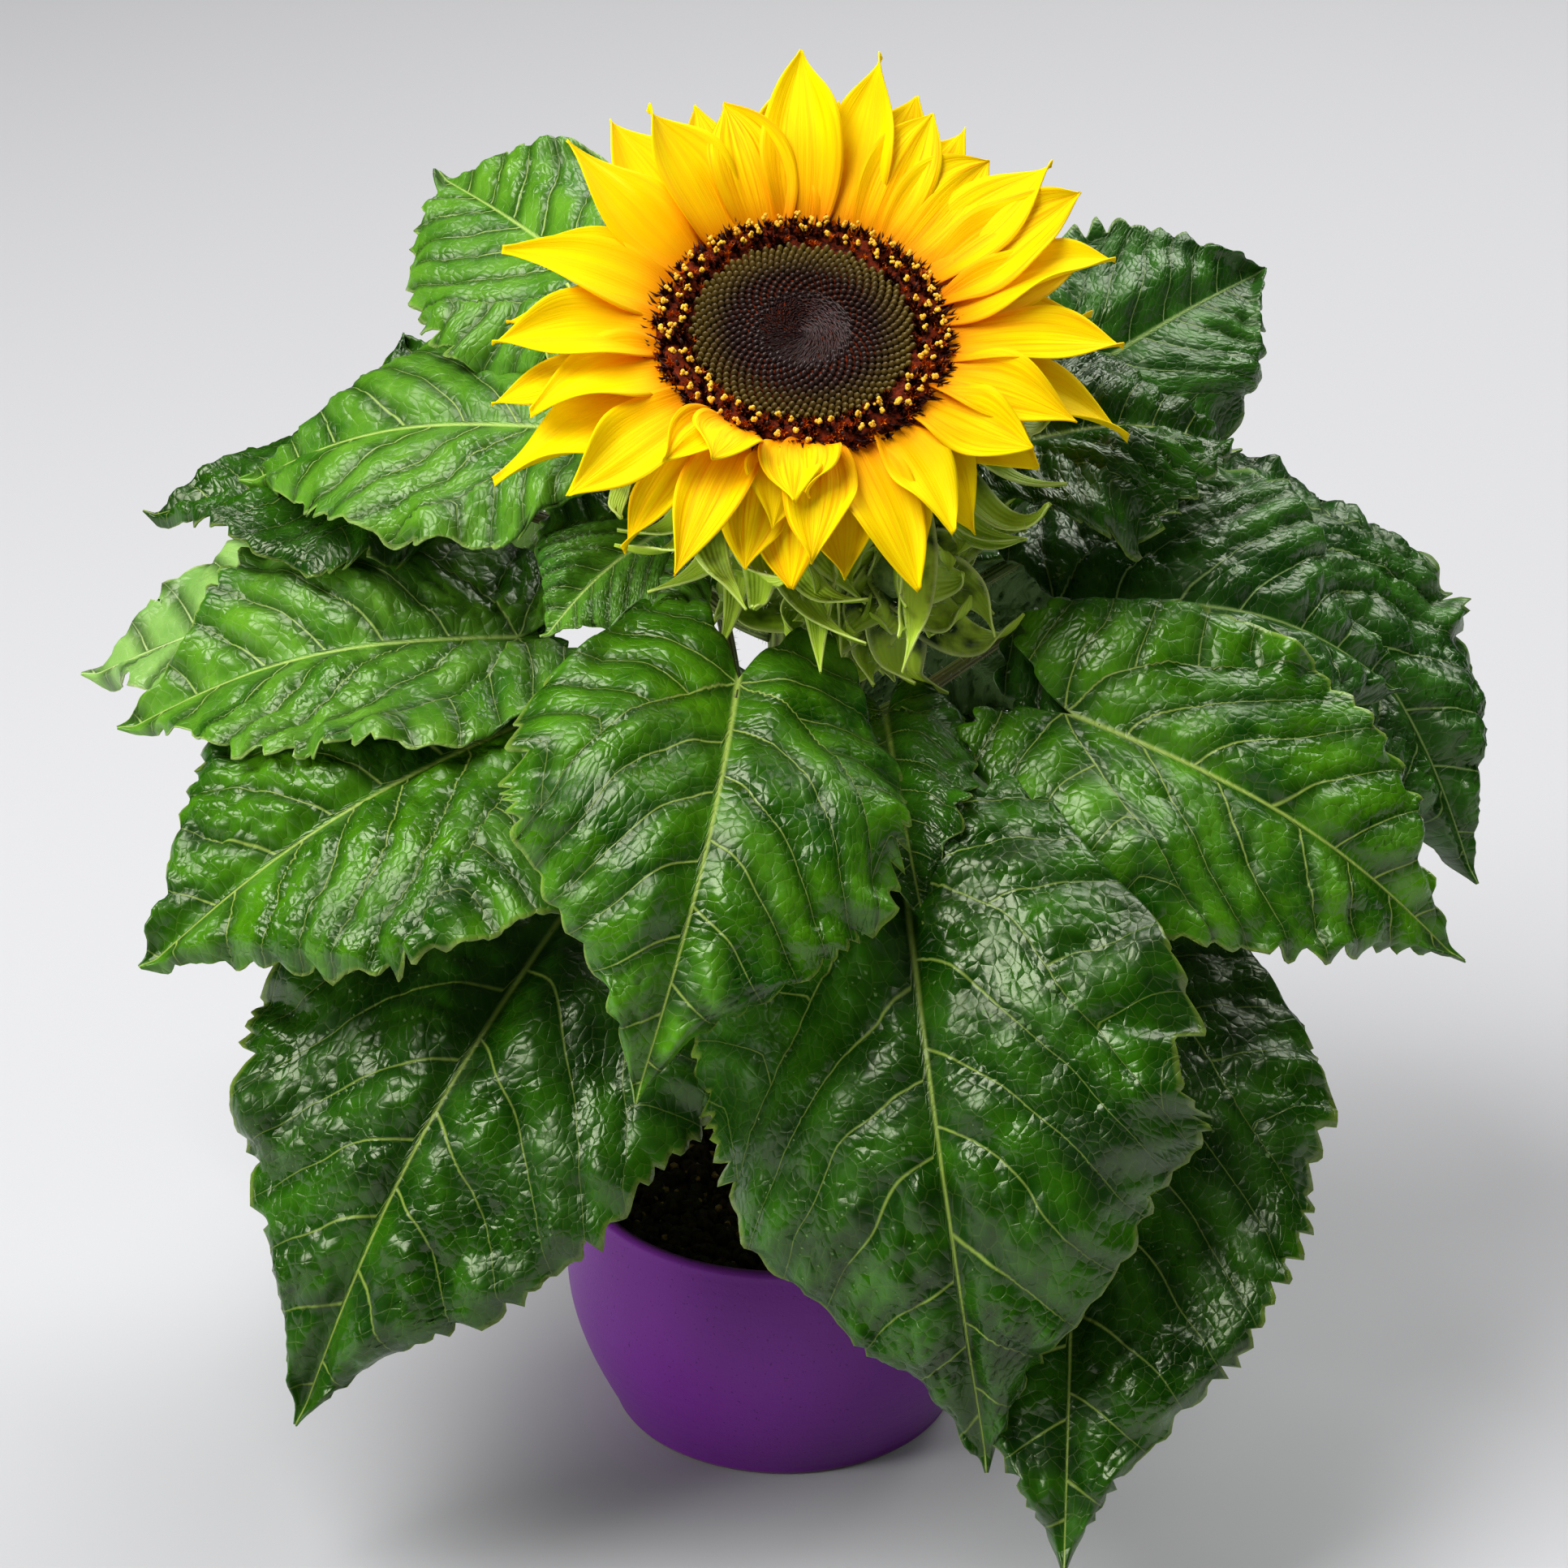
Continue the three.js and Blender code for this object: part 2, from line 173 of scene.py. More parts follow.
def polar(place: Triple) -> Array:
    """The point at a plan angle, a reach and a height."""
    turn = math.radians(place[0])
    return np.array([place[1] * math.cos(turn), place[1] * math.sin(turn), place[2]])


def unit(vector: Array) -> Array:
    """The vector at length one."""
    return vector / np.linalg.norm(vector)


def units(vectors: Array) -> Array:
    """Every vector of an array at length one."""
    return vectors / np.linalg.norm(vectors, axis=-1, keepdims=True)


def spokes(turn: Array) -> Array:
    """Directions out from the middle, one to each angle in radians."""
    return np.stack([np.cos(turn), np.sin(turn), turn * 0], axis=-1)


def tangents(turn: Array) -> Array:
    """Directions along the circle, one to each angle in radians."""
    return np.stack([-np.sin(turn), np.cos(turn), turn * 0], axis=-1)


def beside(axes: Array, hint: Array | Sequence[float]) -> tuple[Array, Array]:
    """Two directions across each axis, the first one square to the hint as well."""
    first = units(np.cross(axes, hint))
    return first, np.cross(axes, first)


def turned(vector: Array, axis: Array, degrees: float) -> Array:
    """The vector turned about an axis."""
    return np.array(Matrix.Rotation(math.radians(degrees), 3, Vector(axis)) @ Vector(vector))


def bezier(a: Array, b: Array, c: Array, d: Array, count: int) -> Array:
    """Points along a cubic curve with its two handles b and c."""
    t = np.linspace(0, 1, count)[:, None]
    return a * (1 - t) ** 3 + 3 * b * t * (1 - t) ** 2 + 3 * c * t * t * (1 - t) + d * t ** 3


# Shapes

@dataclass
class Shape:
    """A mesh in the making, in millimetres.

    Attributes:
        points: one row to a point.
        quads: four point numbers to a face.
        tris: three point numbers to a face.
        maps: named pairs of values at each point, which become UV maps.
    """

    points: Array
    quads: Array = field(default_factory=lambda: np.zeros((0, 4), int))
    tris: Array = field(default_factory=lambda: np.zeros((0, 3), int))
    maps: Maps = field(default_factory=dict)

    def many(self, turns: Array, places: Array, maps: Maps) -> "Shape":
        """Copies the shape to many places.

        Args:
            turns: one 3 by 3 matrix to a copy, which may also scale it.
            places: one point to a copy.
            maps: one pair of values to a copy for each map, given to all its points.

        Returns:
            All the copies as one shape.
        """
        count = len(places)
        size = len(self.points)
        points = np.einsum("kij,nj->kni", turns, self.points) + places[:, None, :]
        shift = (np.arange(count) * size)[:, None, None]
        spread = {name: np.repeat(pairs, size, axis=0) for name, pairs in maps.items()}
        own = {name: np.tile(pairs, (count, 1)) for name, pairs in self.maps.items()}
        return Shape(
            points.reshape(-1, 3),
            (self.quads[None] + shift).reshape(-1, 4),
            (self.tris[None] + shift).reshape(-1, 3),
            {**own, **spread},
        )


def joined(shapes: Sequence[Shape]) -> Shape:
    """Puts shapes with the same maps together.

    Args:
        shapes: one or more.

    Returns:
        All of them as one shape.
    """
    shifts = np.cumsum([0] + [len(s.points) for s in shapes[:-1]])
    return Shape(
        np.concatenate([s.points for s in shapes]),
        np.concatenate([s.quads + k for s, k in zip(shapes, shifts)]),
        np.concatenate([s.tris + k for s, k in zip(shapes, shifts)]),
        {name: np.concatenate([s.maps[name] for s in shapes]) for name in shapes[0].maps},
    )


def grid_normals(points: Array) -> Array:
    """Works out which way a grid of points faces.

    Args:
        points: rows run along the surface, columns across it.

    Returns:
        A unit normal to each point.
    """
    along = np.gradient(points, axis=0)
    across = np.gradient(points, axis=1)
    normals = np.cross(across, along)
    return normals / np.maximum(np.linalg.norm(normals, axis=2, keepdims=True), 1e-9)


def blade(
    points: Array, above: float | Array, below: float | Array,
    maps: Maps,
) -> Shape:
    """A thin closed body over a grid of points.

    Args:
        points: rows run along the blade, columns across it.
        above: thickness over the grid.
        below: thickness under the grid.
        maps: a pair of values at each grid point. A map named "side" is added, which is 0 on
            the upper side and 1 on the lower one.

    Returns:
        The closed body.
    """
    rows, columns = points.shape[:2]
    normals = grid_normals(points)
    upper = points + normals * np.atleast_3d(np.broadcast_to(above, (rows, columns)))
    lower = points - normals * np.atleast_3d(np.broadcast_to(below, (rows, columns)))
    number = np.arange(rows * columns).reshape(rows, columns)
    under = number + rows * columns
    a, b, c, d = number[:-1, :-1], number[:-1, 1:], number[1:, 1:], number[1:, :-1]
    lid = np.stack([a, b, c, d], axis=-1).reshape(-1, 4)
    base = (lid + rows * columns)[:, ::-1]
    rim = np.concatenate([number[0, ::-1], number[1:, 0], number[-1, 1:], number[-2:0:-1, -1]])
    rim_under = np.concatenate([under[0, ::-1], under[1:, 0], under[-1, 1:], under[-2:0:-1, -1]])
    wall = np.stack([rim, np.roll(rim, -1), np.roll(rim_under, -1), rim_under], axis=-1)
    doubled = {name: np.concatenate([pairs.reshape(-1, 2)] * 2) for name, pairs in maps.items()}
    side = np.repeat([0.0, 1.0], rows * columns)
    doubled["side"] = np.stack([side, side], axis=-1)
    return Shape(
        np.concatenate([upper.reshape(-1, 3), lower.reshape(-1, 3)]),
        np.concatenate([lid, base, wall]),
        maps=doubled,
    )


def closed_rings(points: Array, tips: Array, length: Array) -> Shape:
    """Closes rings of points into a body with a tip at either end.

    Args:
        points: rings along the body, each with its points round it.
        tips: the two ends.
        length: millimetres along the body to each ring.

    Returns:
        The body, with a map "along" of its turn as a share, and its length so far in metres.
    """
    rings, sides = points.shape[:2]
    number = np.arange(rings * sides).reshape(rings, sides)
    next_one = np.roll(number, -1, axis=1)
    quads = np.stack([number[:-1], next_one[:-1], next_one[1:], number[1:]], axis=-1)
    ends = rings * sides
    foot = np.stack([np.full(sides, ends), next_one[0], number[0]], axis=-1)
    top = np.stack([np.full(sides, ends + 1), number[-1], next_one[-1]], axis=-1)
    turn = 2 * np.pi * np.arange(sides) / sides
    along = np.stack(np.broadcast_arrays(turn[None] / (2 * np.pi), length[:, None] * MM), axis=-1)
    pairs = np.concatenate([along.reshape(-1, 2), [[0, 0], [0, length[-1] * MM]]])
    return Shape(
        np.concatenate([points.reshape(-1, 3), tips]),
        quads.reshape(-1, 4),
        np.concatenate([foot, top]),
        {"along": pairs},
    )


def walk(line: Array) -> Array:
    """The length of a line of points up to each point."""
    return np.concatenate([[0], np.cumsum(np.linalg.norm(np.diff(line, axis=0), axis=1))])


def tube(centres: Array, radii: Array, sides: int, ribs: float = 0, seed: int = 0) -> Shape:
    """A closed round limb along a line of points.

    Args:
        centres: the line.
        radii: the radius at each point of the line.
        sides: faces round it.
        ribs: how far shallow ribs stand out, as a share of the radius.
        seed: picks the ribs' unevenness.

    Returns:
        The limb, with the map "along".
    """
    steps = units(np.gradient(centres, axis=0))
    across = np.cross(steps[0], [0.31, 0.17, 0.93])
    points = np.zeros((len(centres), sides, 3))
    turn = 2 * np.pi * np.arange(sides) / sides
    uneven = lattice_noise(turn * 2.3, turn * 0 + seed, 5)
    for i, step in enumerate(steps):
        across = unit(across - step * np.dot(across, step))
        other = np.cross(step, across)
        out = np.cos(turn)[:, None] * across + np.sin(turn)[:, None] * other
        bulge = 1 + ribs * (np.cos(turn * RIBS_ROUND + uneven) + 0.6 * uneven)
        points[i] = centres[i] + out * (radii[i] * bulge)[:, None]
    return closed_rings(points, centres[[0, -1]], walk(centres))


def lathe(profile: Sequence[tuple[float, float]], sides: int) -> Shape:
    """A body of revolution from points of radius and height, both ends on the axis.

    Args:
        profile: from the lower end on the axis, round the outside, to the upper end.
        sides: faces round it.

    Returns:
        The body, with the map "along".
    """
    inner = np.array(profile[1:-1], float)
    turn = 2 * np.pi * np.arange(sides) / sides
    ring = np.stack([np.cos(turn), np.sin(turn)], axis=-1)
    points = np.zeros((len(inner), sides, 3))
    points[..., :2] = inner[:, 0][:, None, None] * ring[None]
    points[..., 2] = inner[:, 1][:, None]
    tips = np.array([[0, 0, profile[0][1]], [0, 0, profile[-1][1]]], float)
    return closed_rings(points, tips, walk(inner))


def make_piece(
    name: str, shape: Shape, material: Material, replaces: Sequence[str] = ()
) -> Object:
    """Makes the mesh object of a shape, smooth shaded, riding on the plant's body.

    Args:
        name: the piece's name.
        shape: what it looks like, in millimetres.
        material: its finish.
        replaces: the CAD nodes that it stands for.

    Returns:
        The object.
    """
    mesh = bpy.data.meshes.new(name)
    mesh.from_pydata((shape.points * MM).tolist(), [], shape.quads.tolist() + shape.tris.tolist())
    mesh.polygons.foreach_set("use_smooth", np.ones(len(mesh.polygons), bool))
    corner = np.zeros(len(mesh.loops), int)
    mesh.loops.foreach_get("vertex_index", corner)
    for map_name, pairs in shape.maps.items():
        layer = mesh.uv_layers.new(name=map_name)
        layer.data.foreach_set("uv", pairs[corner].astype(np.float32).ravel())
    mesh.materials.append(material)
    mesh.update()
    piece = bpy.data.objects.new(name, mesh)
    bpy.context.scene.collection.objects.link(piece)
    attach(piece, "root")
    if replaces:
        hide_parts(*replaces)
    triangles = 2 * len(shape.quads) + len(shape.tris)
    log.info("%s: %d triangles", name, triangles)
    return piece


def grain() -> Shape:
    """A small uneven ball with six sides, such as a grain of pollen or a crumb.

    Returns:
        The ball, with a radius of one and no maps.
    """
    rings = [(0.0, -1.0), (0.8, -0.55), (1.0, 0.1), (0.6, 0.8), (0.0, 1.0)]
    ball = lathe(rings, 6)
    ball.maps = {}
    return ball


def spikes(places: Array, directions: Array, lengths: Array, radius: float) -> Shape:
    """Thin three-sided cones, such as hairs.

    Args:
        places: where each one stands.
        directions: unit vectors from foot to point.
        lengths: how long each one is.
        radius: of the foot.

    Returns:
        All of them as one shape.
    """
    foot = spokes(np.radians([0, 120, 240])) * radius
    cone = Shape(
        np.concatenate([foot, [[0, 0, 1]]]),
        tris=np.array([[0, 1, 3], [1, 2, 3], [2, 0, 3], [2, 1, 0]]),
    )
    side, other = beside(directions, [0.42, 0.57, 0.71])
    turns = np.stack([side, other, directions * lengths[:, None]], axis=-1)
    return cone.many(turns, places, {})


# Finishes

def new_material(name: str) -> tuple[Material, NodeTree, Node]:
    """A material with an empty tree but for its shader.

    Args:
        name: of the real material and how it was made.

    Returns:
        The material, its node tree and its Principled shader.
    """
    material = bpy.data.materials.new(name)
    material.use_nodes = True
    tree = material.node_tree
    tree.nodes.clear()
    shader = add_node(tree, "BsdfPrincipled")
    add_node(tree, "OutputMaterial", {"Surface": shader})
    return material, tree, shader


def read_map(tree: NodeTree, name: str) -> tuple[Any, Any]:
    """The sockets of the two values of a map that the piece carries."""
    parts = add_node(tree, "SeparateXYZ", {0: add_node(tree, "UVMap", uv_map=name)})
    return parts.outputs[0], parts.outputs[1]


@dataclass(frozen=True)
class LeafFinish:
    """Living sunflower leaf: a waxy skin over green tissue, quilted between its veins.

    The wax gives a small bright glint on each cushion. The veins run as thin pale lines in
    creases, which are darkened with painted shade.
    """

    name: str
    deep: str
    bright: str
    vein: str
    under: str
    roughness: float
    wax: str = "F6FFDC"
    # painted shade: the deep green that the creases are darkened towards
    crease: str = "0A3202"
    vein_width: float = 0.7  # against a full-grown leaf's
    net_strength: float = 0.1
    net_columns: float = 5.4  # cells between two side veins, coarser than real ones, to show
    cushion_mm: float = 0.2
    patch_scale: float = 45.0  # to a metre, 22 mm each
    crumple_scale: float = 330.0  # to a metre, 3 mm each
    dull_scale: float = 60.0  # to a metre, 17 mm each

    def build(self) -> Material:
        """Makes the material.

        Returns:
            The material, which reads the maps that a leaf blade carries.
        """
        material, tree, shader = new_material(self.name)
        veins = read_map(tree, "veins")
        lobes = read_map(tree, "lobes")
        rungs = read_map(tree, "rungs")
        place = read_map(tree, "place")
        side = read_map(tree, "side")
        midrib = add_node(tree, "Math", {0: veins[1]}, operation="ABSOLUTE")
        midrib_width = add_node(
            tree, "MapRange", {"Value": place[0], "To Min": 0.15, "To Max": 0.035}
        )
        midrib_line = add_node(
            tree, "MapRange",
            {"Value": midrib, "From Min": midrib_width, "From Max": 0.0},
            interpolation_type="SMOOTHSTEP",
        )
        in_blade = add_node(tree, "Math", {0: veins[0], 1: -0.02}, operation="GREATER_THAN")
        number = add_node(
            tree, "Mix", {"Factor": in_blade, 2: lobes[0], 3: veins[0]}, data_type="FLOAT"
        )
        wave = add_node(tree, "Math", {0: number, 1: 0.5}, operation="PINGPONG")
        line_width = add_node(
            tree, "MapRange",
            {"Value": place[1], "To Min": 0.05 * self.vein_width,
             "To Max": 0.022 * self.vein_width},
        )
        branch_strength = add_node(
            tree, "MapRange", {"Value": place[1], "To Min": 0.85, "To Max": 0.25}
        )
        branch_line = add_node(
            tree, "MapRange",
            {"Value": wave, "From Min": line_width, "From Max": 0.0, "To Max": branch_strength},
            interpolation_type="SMOOTHSTEP",
        )
        rung = add_node(
            tree, "Mix", {"Factor": in_blade, 2: rungs[1], 3: rungs[0]}, data_type="FLOAT"
        )
        columns = add_node(tree, "Math", {0: number, 1: self.net_columns}, operation="MULTIPLY")
        cell_place = add_node(tree, "CombineXYZ", {0: columns, 1: rung})
        cell_edge = add_node(
            tree, "TexVoronoi", {"Vector": cell_place, "Scale": 1.0, "Randomness": 0.95},
            voronoi_dimensions="2D", feature="DISTANCE_TO_EDGE",
        )
        cell_line = add_node(
            tree, "MapRange", {"Value": cell_edge, "From Min": 0.06, "From Max": 0.0},
            interpolation_type="SMOOTHSTEP",
        )
        faint = add_node(tree, "Math", {0: cell_line, 1: self.net_strength}, operation="MULTIPLY")
        strong = add_node(tree, "Math", {0: midrib_line, 1: branch_line}, operation="MAXIMUM")
        net = add_node(tree, "Math", {0: strong, 1: faint}, operation="MAXIMUM")
        self.colour(tree, shader, net, place, side, wave)
        self.surface(tree, shader, strong, cell_edge, cell_place, side)
        return material

    def colour(
        self, tree: NodeTree, shader: Node, net: Node,
        place: tuple[Any, Any], side: tuple[Any, Any], wave: Node,
    ) -> None:
        """Greens of the blade, with painted shade in the creases, pale veins and a grey-green back.

        Args:
            tree: the material's nodes.
            shader: takes the colour.
            net: where the veins are.
            place: shares of the way along and across.
            side: 1 on the lower side.
            wave: distance from the nearest side vein.
        """
        spot = add_node(tree, "TexCoord").outputs["Object"]
        patches = add_node(
            tree, "TexNoise",
            {"Vector": spot, "Scale": self.patch_scale, "Detail": 5.0, "Roughness": 0.6},
        )
        tissue_share = add_node(
            tree, "MapRange", {"Value": patches, "From Min": 0.36, "From Max": 0.66}
        )
        tissue = add_node(
            tree, "Mix", {0: tissue_share, 6: linear(self.bright), 7: linear(self.deep)},
            data_type="RGBA",
        )
        # painted shade: the green darkens towards the crease colour near each side vein, where the
        # creases are
        crease = add_node(
            tree, "MapRange",
            {"Value": wave, "From Max": 0.3, "To Min": 0.12, "To Max": 1.0},
        )
        crease_shaded = add_node(
            tree, "Mix", {0: crease, 6: linear(self.crease), 7: tissue.outputs[2]},
            data_type="RGBA",
        )
        veined = add_node(
            tree, "Mix", {0: net, 6: crease_shaded.outputs[2], 7: linear(self.vein)}, data_type="RGBA"
        )
        edge = add_node(
            tree, "MapRange",
            {"Value": place[1], "From Min": 0.97, "From Max": 1.0, "To Max": 0.6},
        )
        edged = add_node(
            tree, "Mix", {0: edge, 6: veined.outputs[2], 7: linear(self.vein)}, data_type="RGBA"
        )
        whole = add_node(
            tree, "Mix", {0: side[0], 6: edged.outputs[2], 7: linear(self.under)},
            data_type="RGBA",
        )
        feed(shader, {"Base Color": whole.outputs[2]})

    def surface(
        self, tree: NodeTree, shader: Node, strong: Node,
        cell_edge: Node, cell_place: Node, side: tuple[Any, Any],
    ) -> None:
        """Small cushions between the net of veins, and the wax's gloss.

        Args:
            tree: the material's nodes.
            shader: takes the relief and the gloss.
            strong: lines of the midrib and side veins.
            cell_edge: distance from the nearest line of the net.
            cell_place: where the net is sampled.
            side: 1 on the lower side.
        """
        spot = add_node(tree, "TexCoord").outputs["Object"]
        inward = add_node(tree, "MapRange", {"Value": cell_edge, "From Max": 0.4})
        cushion = add_node(tree, "Math", {0: inward, 1: 0.55}, operation="POWER")
        swelling = add_node(tree, "TexNoise", {"Vector": cell_place, "Scale": 0.8, "Detail": 1.0})
        swollen = add_node(tree, "Math", {0: cushion, 1: swelling}, operation="MULTIPLY")
        crumple = add_node(
            tree, "TexNoise", {"Vector": spot, "Scale": self.crumple_scale, "Detail": 3.0}
        )
        relief = add_node(tree, "Math", {0: swollen, 1: 1.6, 2: crumple}, operation="MULTIPLY_ADD")
        sunk = add_node(tree, "Math", {0: strong, 1: -0.5, 2: relief}, operation="MULTIPLY_ADD")
        bump = add_node(
            tree, "Bump", {"Height": sunk, "Strength": 1.0, "Distance": self.cushion_mm * MM}
        )
        feed(shader, {"Normal": bump})
        dull = add_node(tree, "TexNoise", {"Vector": spot, "Scale": self.dull_scale, "Detail": 3.0})
        gloss = add_node(
            tree, "MapRange",
            {"Value": dull, "From Min": 0.35, "From Max": 0.65,
             "To Min": self.roughness - 0.06, "To Max": self.roughness + 0.1},
        )
        veined = add_node(tree, "Math", {0: strong, 1: 0.2, 2: gloss}, operation="MULTIPLY_ADD")
        backed = add_node(tree, "Math", {0: side[0], 1: 0.3, 2: veined}, operation="MULTIPLY_ADD")
        feed(shader, {
            "Roughness": backed, "IOR": 1.45, "Specular IOR Level": 0.75,
            "Specular Tint": linear(self.wax),
        })


@dataclass(frozen=True)
class PetalFinish:
    """Ray petal: thin satin tissue with fine lengthwise ribs, with painted shade: deeper orange
    towards its root and orange streaks in patches.

    The ribs give the eye long soft streaks and no glints.
    """

    name: str = "living ray petal, satin yellow"
    # painted shade: the deeper orange at the root
    root: str = "E07800"
    middle: str = "FFBC00"
    tip: str = "FFDE00"
    # painted shade: the orange of the streaked patches
    shade: str = "F09600"
    streaks: Triple = (1.2, 7.0, 40.0)  # repeats along, across and from petal to petal
    fibres: Triple = (2.0, 16.0, 40.0)  # 0.7 mm apart, coarser than real ones, to show
    fibre_mm: float = 0.9

    def build(self) -> Material:
        """Makes the material.

        Returns:
            The material, which reads the maps that a petal carries.
        """
        material, tree, shader = new_material(self.name)
        place = read_map(tree, "place")
        own = read_map(tree, "own")
        ramp = add_node(tree, "ValToRGB", {"Fac": place[0]})
        ramp.color_ramp.elements[0].position = 0.04
        ramp.color_ramp.elements[0].color = linear(self.root)
        ramp.color_ramp.elements[1].position = 0.55
        ramp.color_ramp.elements[1].color = linear(self.tip)
        golden = ramp.color_ramp.elements.new(0.24)
        golden.color = linear(self.middle)
        stretched = add_node(tree, "CombineXYZ", {0: place[0], 1: place[1], 2: own[0]})
        spread = add_node(tree, "VectorMath", {0: stretched, 1: self.streaks}, operation="MULTIPLY")
        streaks = add_node(tree, "TexNoise", {"Vector": spread, "Scale": 1.4, "Detail": 4.0})
        streak_share = add_node(
            tree, "MapRange",
            {"Value": streaks, "From Min": 0.45, "From Max": 0.7, "To Max": 0.9},
        )
        # painted shade: orange patches in streaks, stronger on some petals than on others
        shade_share = add_node(tree, "Math", {0: own[1], 1: streak_share}, operation="MULTIPLY")
        tinted = add_node(
            tree, "Mix", {0: shade_share, 6: ramp.outputs[0], 7: linear(self.shade)}, data_type="RGBA"
        )
        fine = add_node(tree, "VectorMath", {0: stretched, 1: self.fibres}, operation="MULTIPLY")
        fibres = add_node(tree, "TexNoise", {"Vector": fine, "Scale": 1.0, "Detail": 3.0})
        bump = add_node(
            tree, "Bump", {"Height": fibres, "Strength": 0.35, "Distance": self.fibre_mm * MM}
        )
        feed(shader, {
            "Base Color": tinted.outputs[2], "Normal": bump, "Roughness": 0.6,
            "Specular IOR Level": 0.06,
        })
        return material


@dataclass(frozen=True)
class StalkFinish:
    """Stem and stalk skin: ribbed green flesh, flushed purple-brown in places, dull from hairs.

    The ribs give the eye fine light and dark lines along the stem.
    """

    name: str = "living stem skin, ribbed green"
    flesh: str = "7F9440"
    dark: str = "4B5E24"
    flush: str = "6A4A3C"
    ribs: float = 11.0
    flush_scale: float = 24.0  # to a metre, 42 mm each
    fibre_scale: float = 900.0  # to a metre, 1.1 mm each
    relief_mm: float = 0.5

    def build(self) -> Material:
        """Makes the material.

        Returns:
            The material, which reads the map "along".
        """
        material, tree, shader = new_material(self.name)
        along = read_map(tree, "along")
        turn = add_node(
            tree, "Math", {0: along[0], 1: self.ribs * 2 * math.pi}, operation="MULTIPLY"
        )
        rib = add_node(tree, "Math", {0: turn}, operation="SINE")
        rib_share = add_node(tree, "MapRange", {"Value": rib, "From Min": -1.0, "From Max": 1.0})
        green = add_node(
            tree, "Mix", {0: rib_share, 6: linear(self.dark), 7: linear(self.flesh)},
            data_type="RGBA",
        )
        spot = add_node(tree, "TexCoord").outputs["Object"]
        cloud = add_node(
            tree, "TexNoise", {"Vector": spot, "Scale": self.flush_scale, "Detail": 4.0}
        )
        flush_share = add_node(
            tree, "MapRange",
            {"Value": cloud, "From Min": 0.48, "From Max": 0.7, "To Max": 0.75},
        )
        flushed = add_node(
            tree, "Mix", {0: flush_share, 6: green.outputs[2], 7: linear(self.flush)},
            data_type="RGBA",
        )
        fibres = add_node(
            tree, "TexNoise", {"Vector": spot, "Scale": self.fibre_scale, "Detail": 3.0}
        )
        relief = add_node(tree, "Math", {0: fibres, 1: 0.5, 2: rib}, operation="MULTIPLY_ADD")
        bump = add_node(
            tree, "Bump", {"Height": relief, "Strength": 0.5, "Distance": self.relief_mm * MM}
        )
        feed(shader, {"Base Color": flushed.outputs[2], "Normal": bump, "Roughness": 0.6})
        return material


@dataclass(frozen=True)
class BractFinish:
    """Bract: dull green tissue, darkened at its root with painted shade and lightened at its point
    with painted light, with a light margin.

    The light margin draws each bract off from the one behind it.
    """

    name: str = "living bract, dull green"
    # painted shade at the root and painted light at the point: deep is the root's colour, bright
    # the point's
    deep: str = "143006"
    bright: str = "B0D034"
    margin: str = "D6E686"
    cloud_scale: float = 110.0  # to a metre, 9 mm each
    line_turns: float = 22.0  # radians from the middle to the edge, 3.5 lines
    relief_mm: float = 0.5

    def build(self) -> Material:
        """Makes the material.

        Returns:
            The material, which reads the map "place".
        """
        material, tree, shader = new_material(self.name)
        place = read_map(tree, "place")
        spot = add_node(tree, "TexCoord").outputs["Object"]
        cloud = add_node(
            tree, "TexNoise", {"Vector": spot, "Scale": self.cloud_scale, "Detail": 4.0}
        )
        # painted shade at the root and painted light towards the point, broken up by the cloud
        fade = add_node(tree, "Math", {0: place[0], 1: 0.45, 2: cloud}, operation="MULTIPLY_ADD")
        share = add_node(tree, "MapRange", {"Value": fade, "From Min": 0.5, "From Max": 0.76})
        green = add_node(
            tree, "Mix", {0: share, 6: linear(self.deep), 7: linear(self.bright)},
            data_type="RGBA",
        )
        across = add_node(tree, "Math", {0: place[1]}, operation="ABSOLUTE")
        edge = add_node(
            tree, "MapRange",
            {"Value": across, "From Min": 0.82, "From Max": 1.0, "To Max": 0.6},
        )
        edged = add_node(
            tree, "Mix", {0: edge, 6: green.outputs[2], 7: linear(self.margin)},
            data_type="RGBA",
        )
        lines = add_node(tree, "Math", {0: place[1], 1: self.line_turns}, operation="MULTIPLY")
        wave = add_node(tree, "Math", {0: lines}, operation="SINE")
        relief = add_node(tree, "Math", {0: wave, 1: 0.3, 2: cloud}, operation="MULTIPLY_ADD")
        bump = add_node(
            tree, "Bump", {"Height": relief, "Strength": 0.4, "Distance": self.relief_mm * MM}
        )
        feed(shader, {"Base Color": edged.outputs[2], "Normal": bump, "Roughness": 0.55})
        return material


@dataclass(frozen=True)
class GrainFinish:
    """A finish of two tones, low in the dips and high on the grains, with relief to match.

    Each grain gives the eye a light top and a dark foot.
    """

    name: str
    low: str
    high: str
    grain_mm: float
    relief_mm: float
    roughness: float
    specular: float = 0.5

    def build(self) -> Material:
        """Makes the material.

        Returns:
            The material, which reads no map.
        """
        material, tree, shader = new_material(self.name)
        spot = add_node(tree, "TexCoord").outputs["Object"]
        grain = add_node(
            tree, "TexNoise",
            {"Vector": spot, "Scale": 1 / (self.grain_mm * MM), "Detail": 4.0, "Roughness": 0.6},
        )
        share = add_node(tree, "MapRange", {"Value": grain, "From Min": 0.35, "From Max": 0.65})
        tone = add_node(
            tree, "Mix", {0: share, 6: linear(self.low), 7: linear(self.high)}, data_type="RGBA"
        )
        bump = add_node(
            tree, "Bump", {"Height": grain, "Strength": 0.8, "Distance": self.relief_mm * MM}
        )
        feed(shader, {
            "Base Color": tone.outputs[2], "Normal": bump, "Roughness": self.roughness,
            "Specular IOR Level": self.specular,
        })
        return material


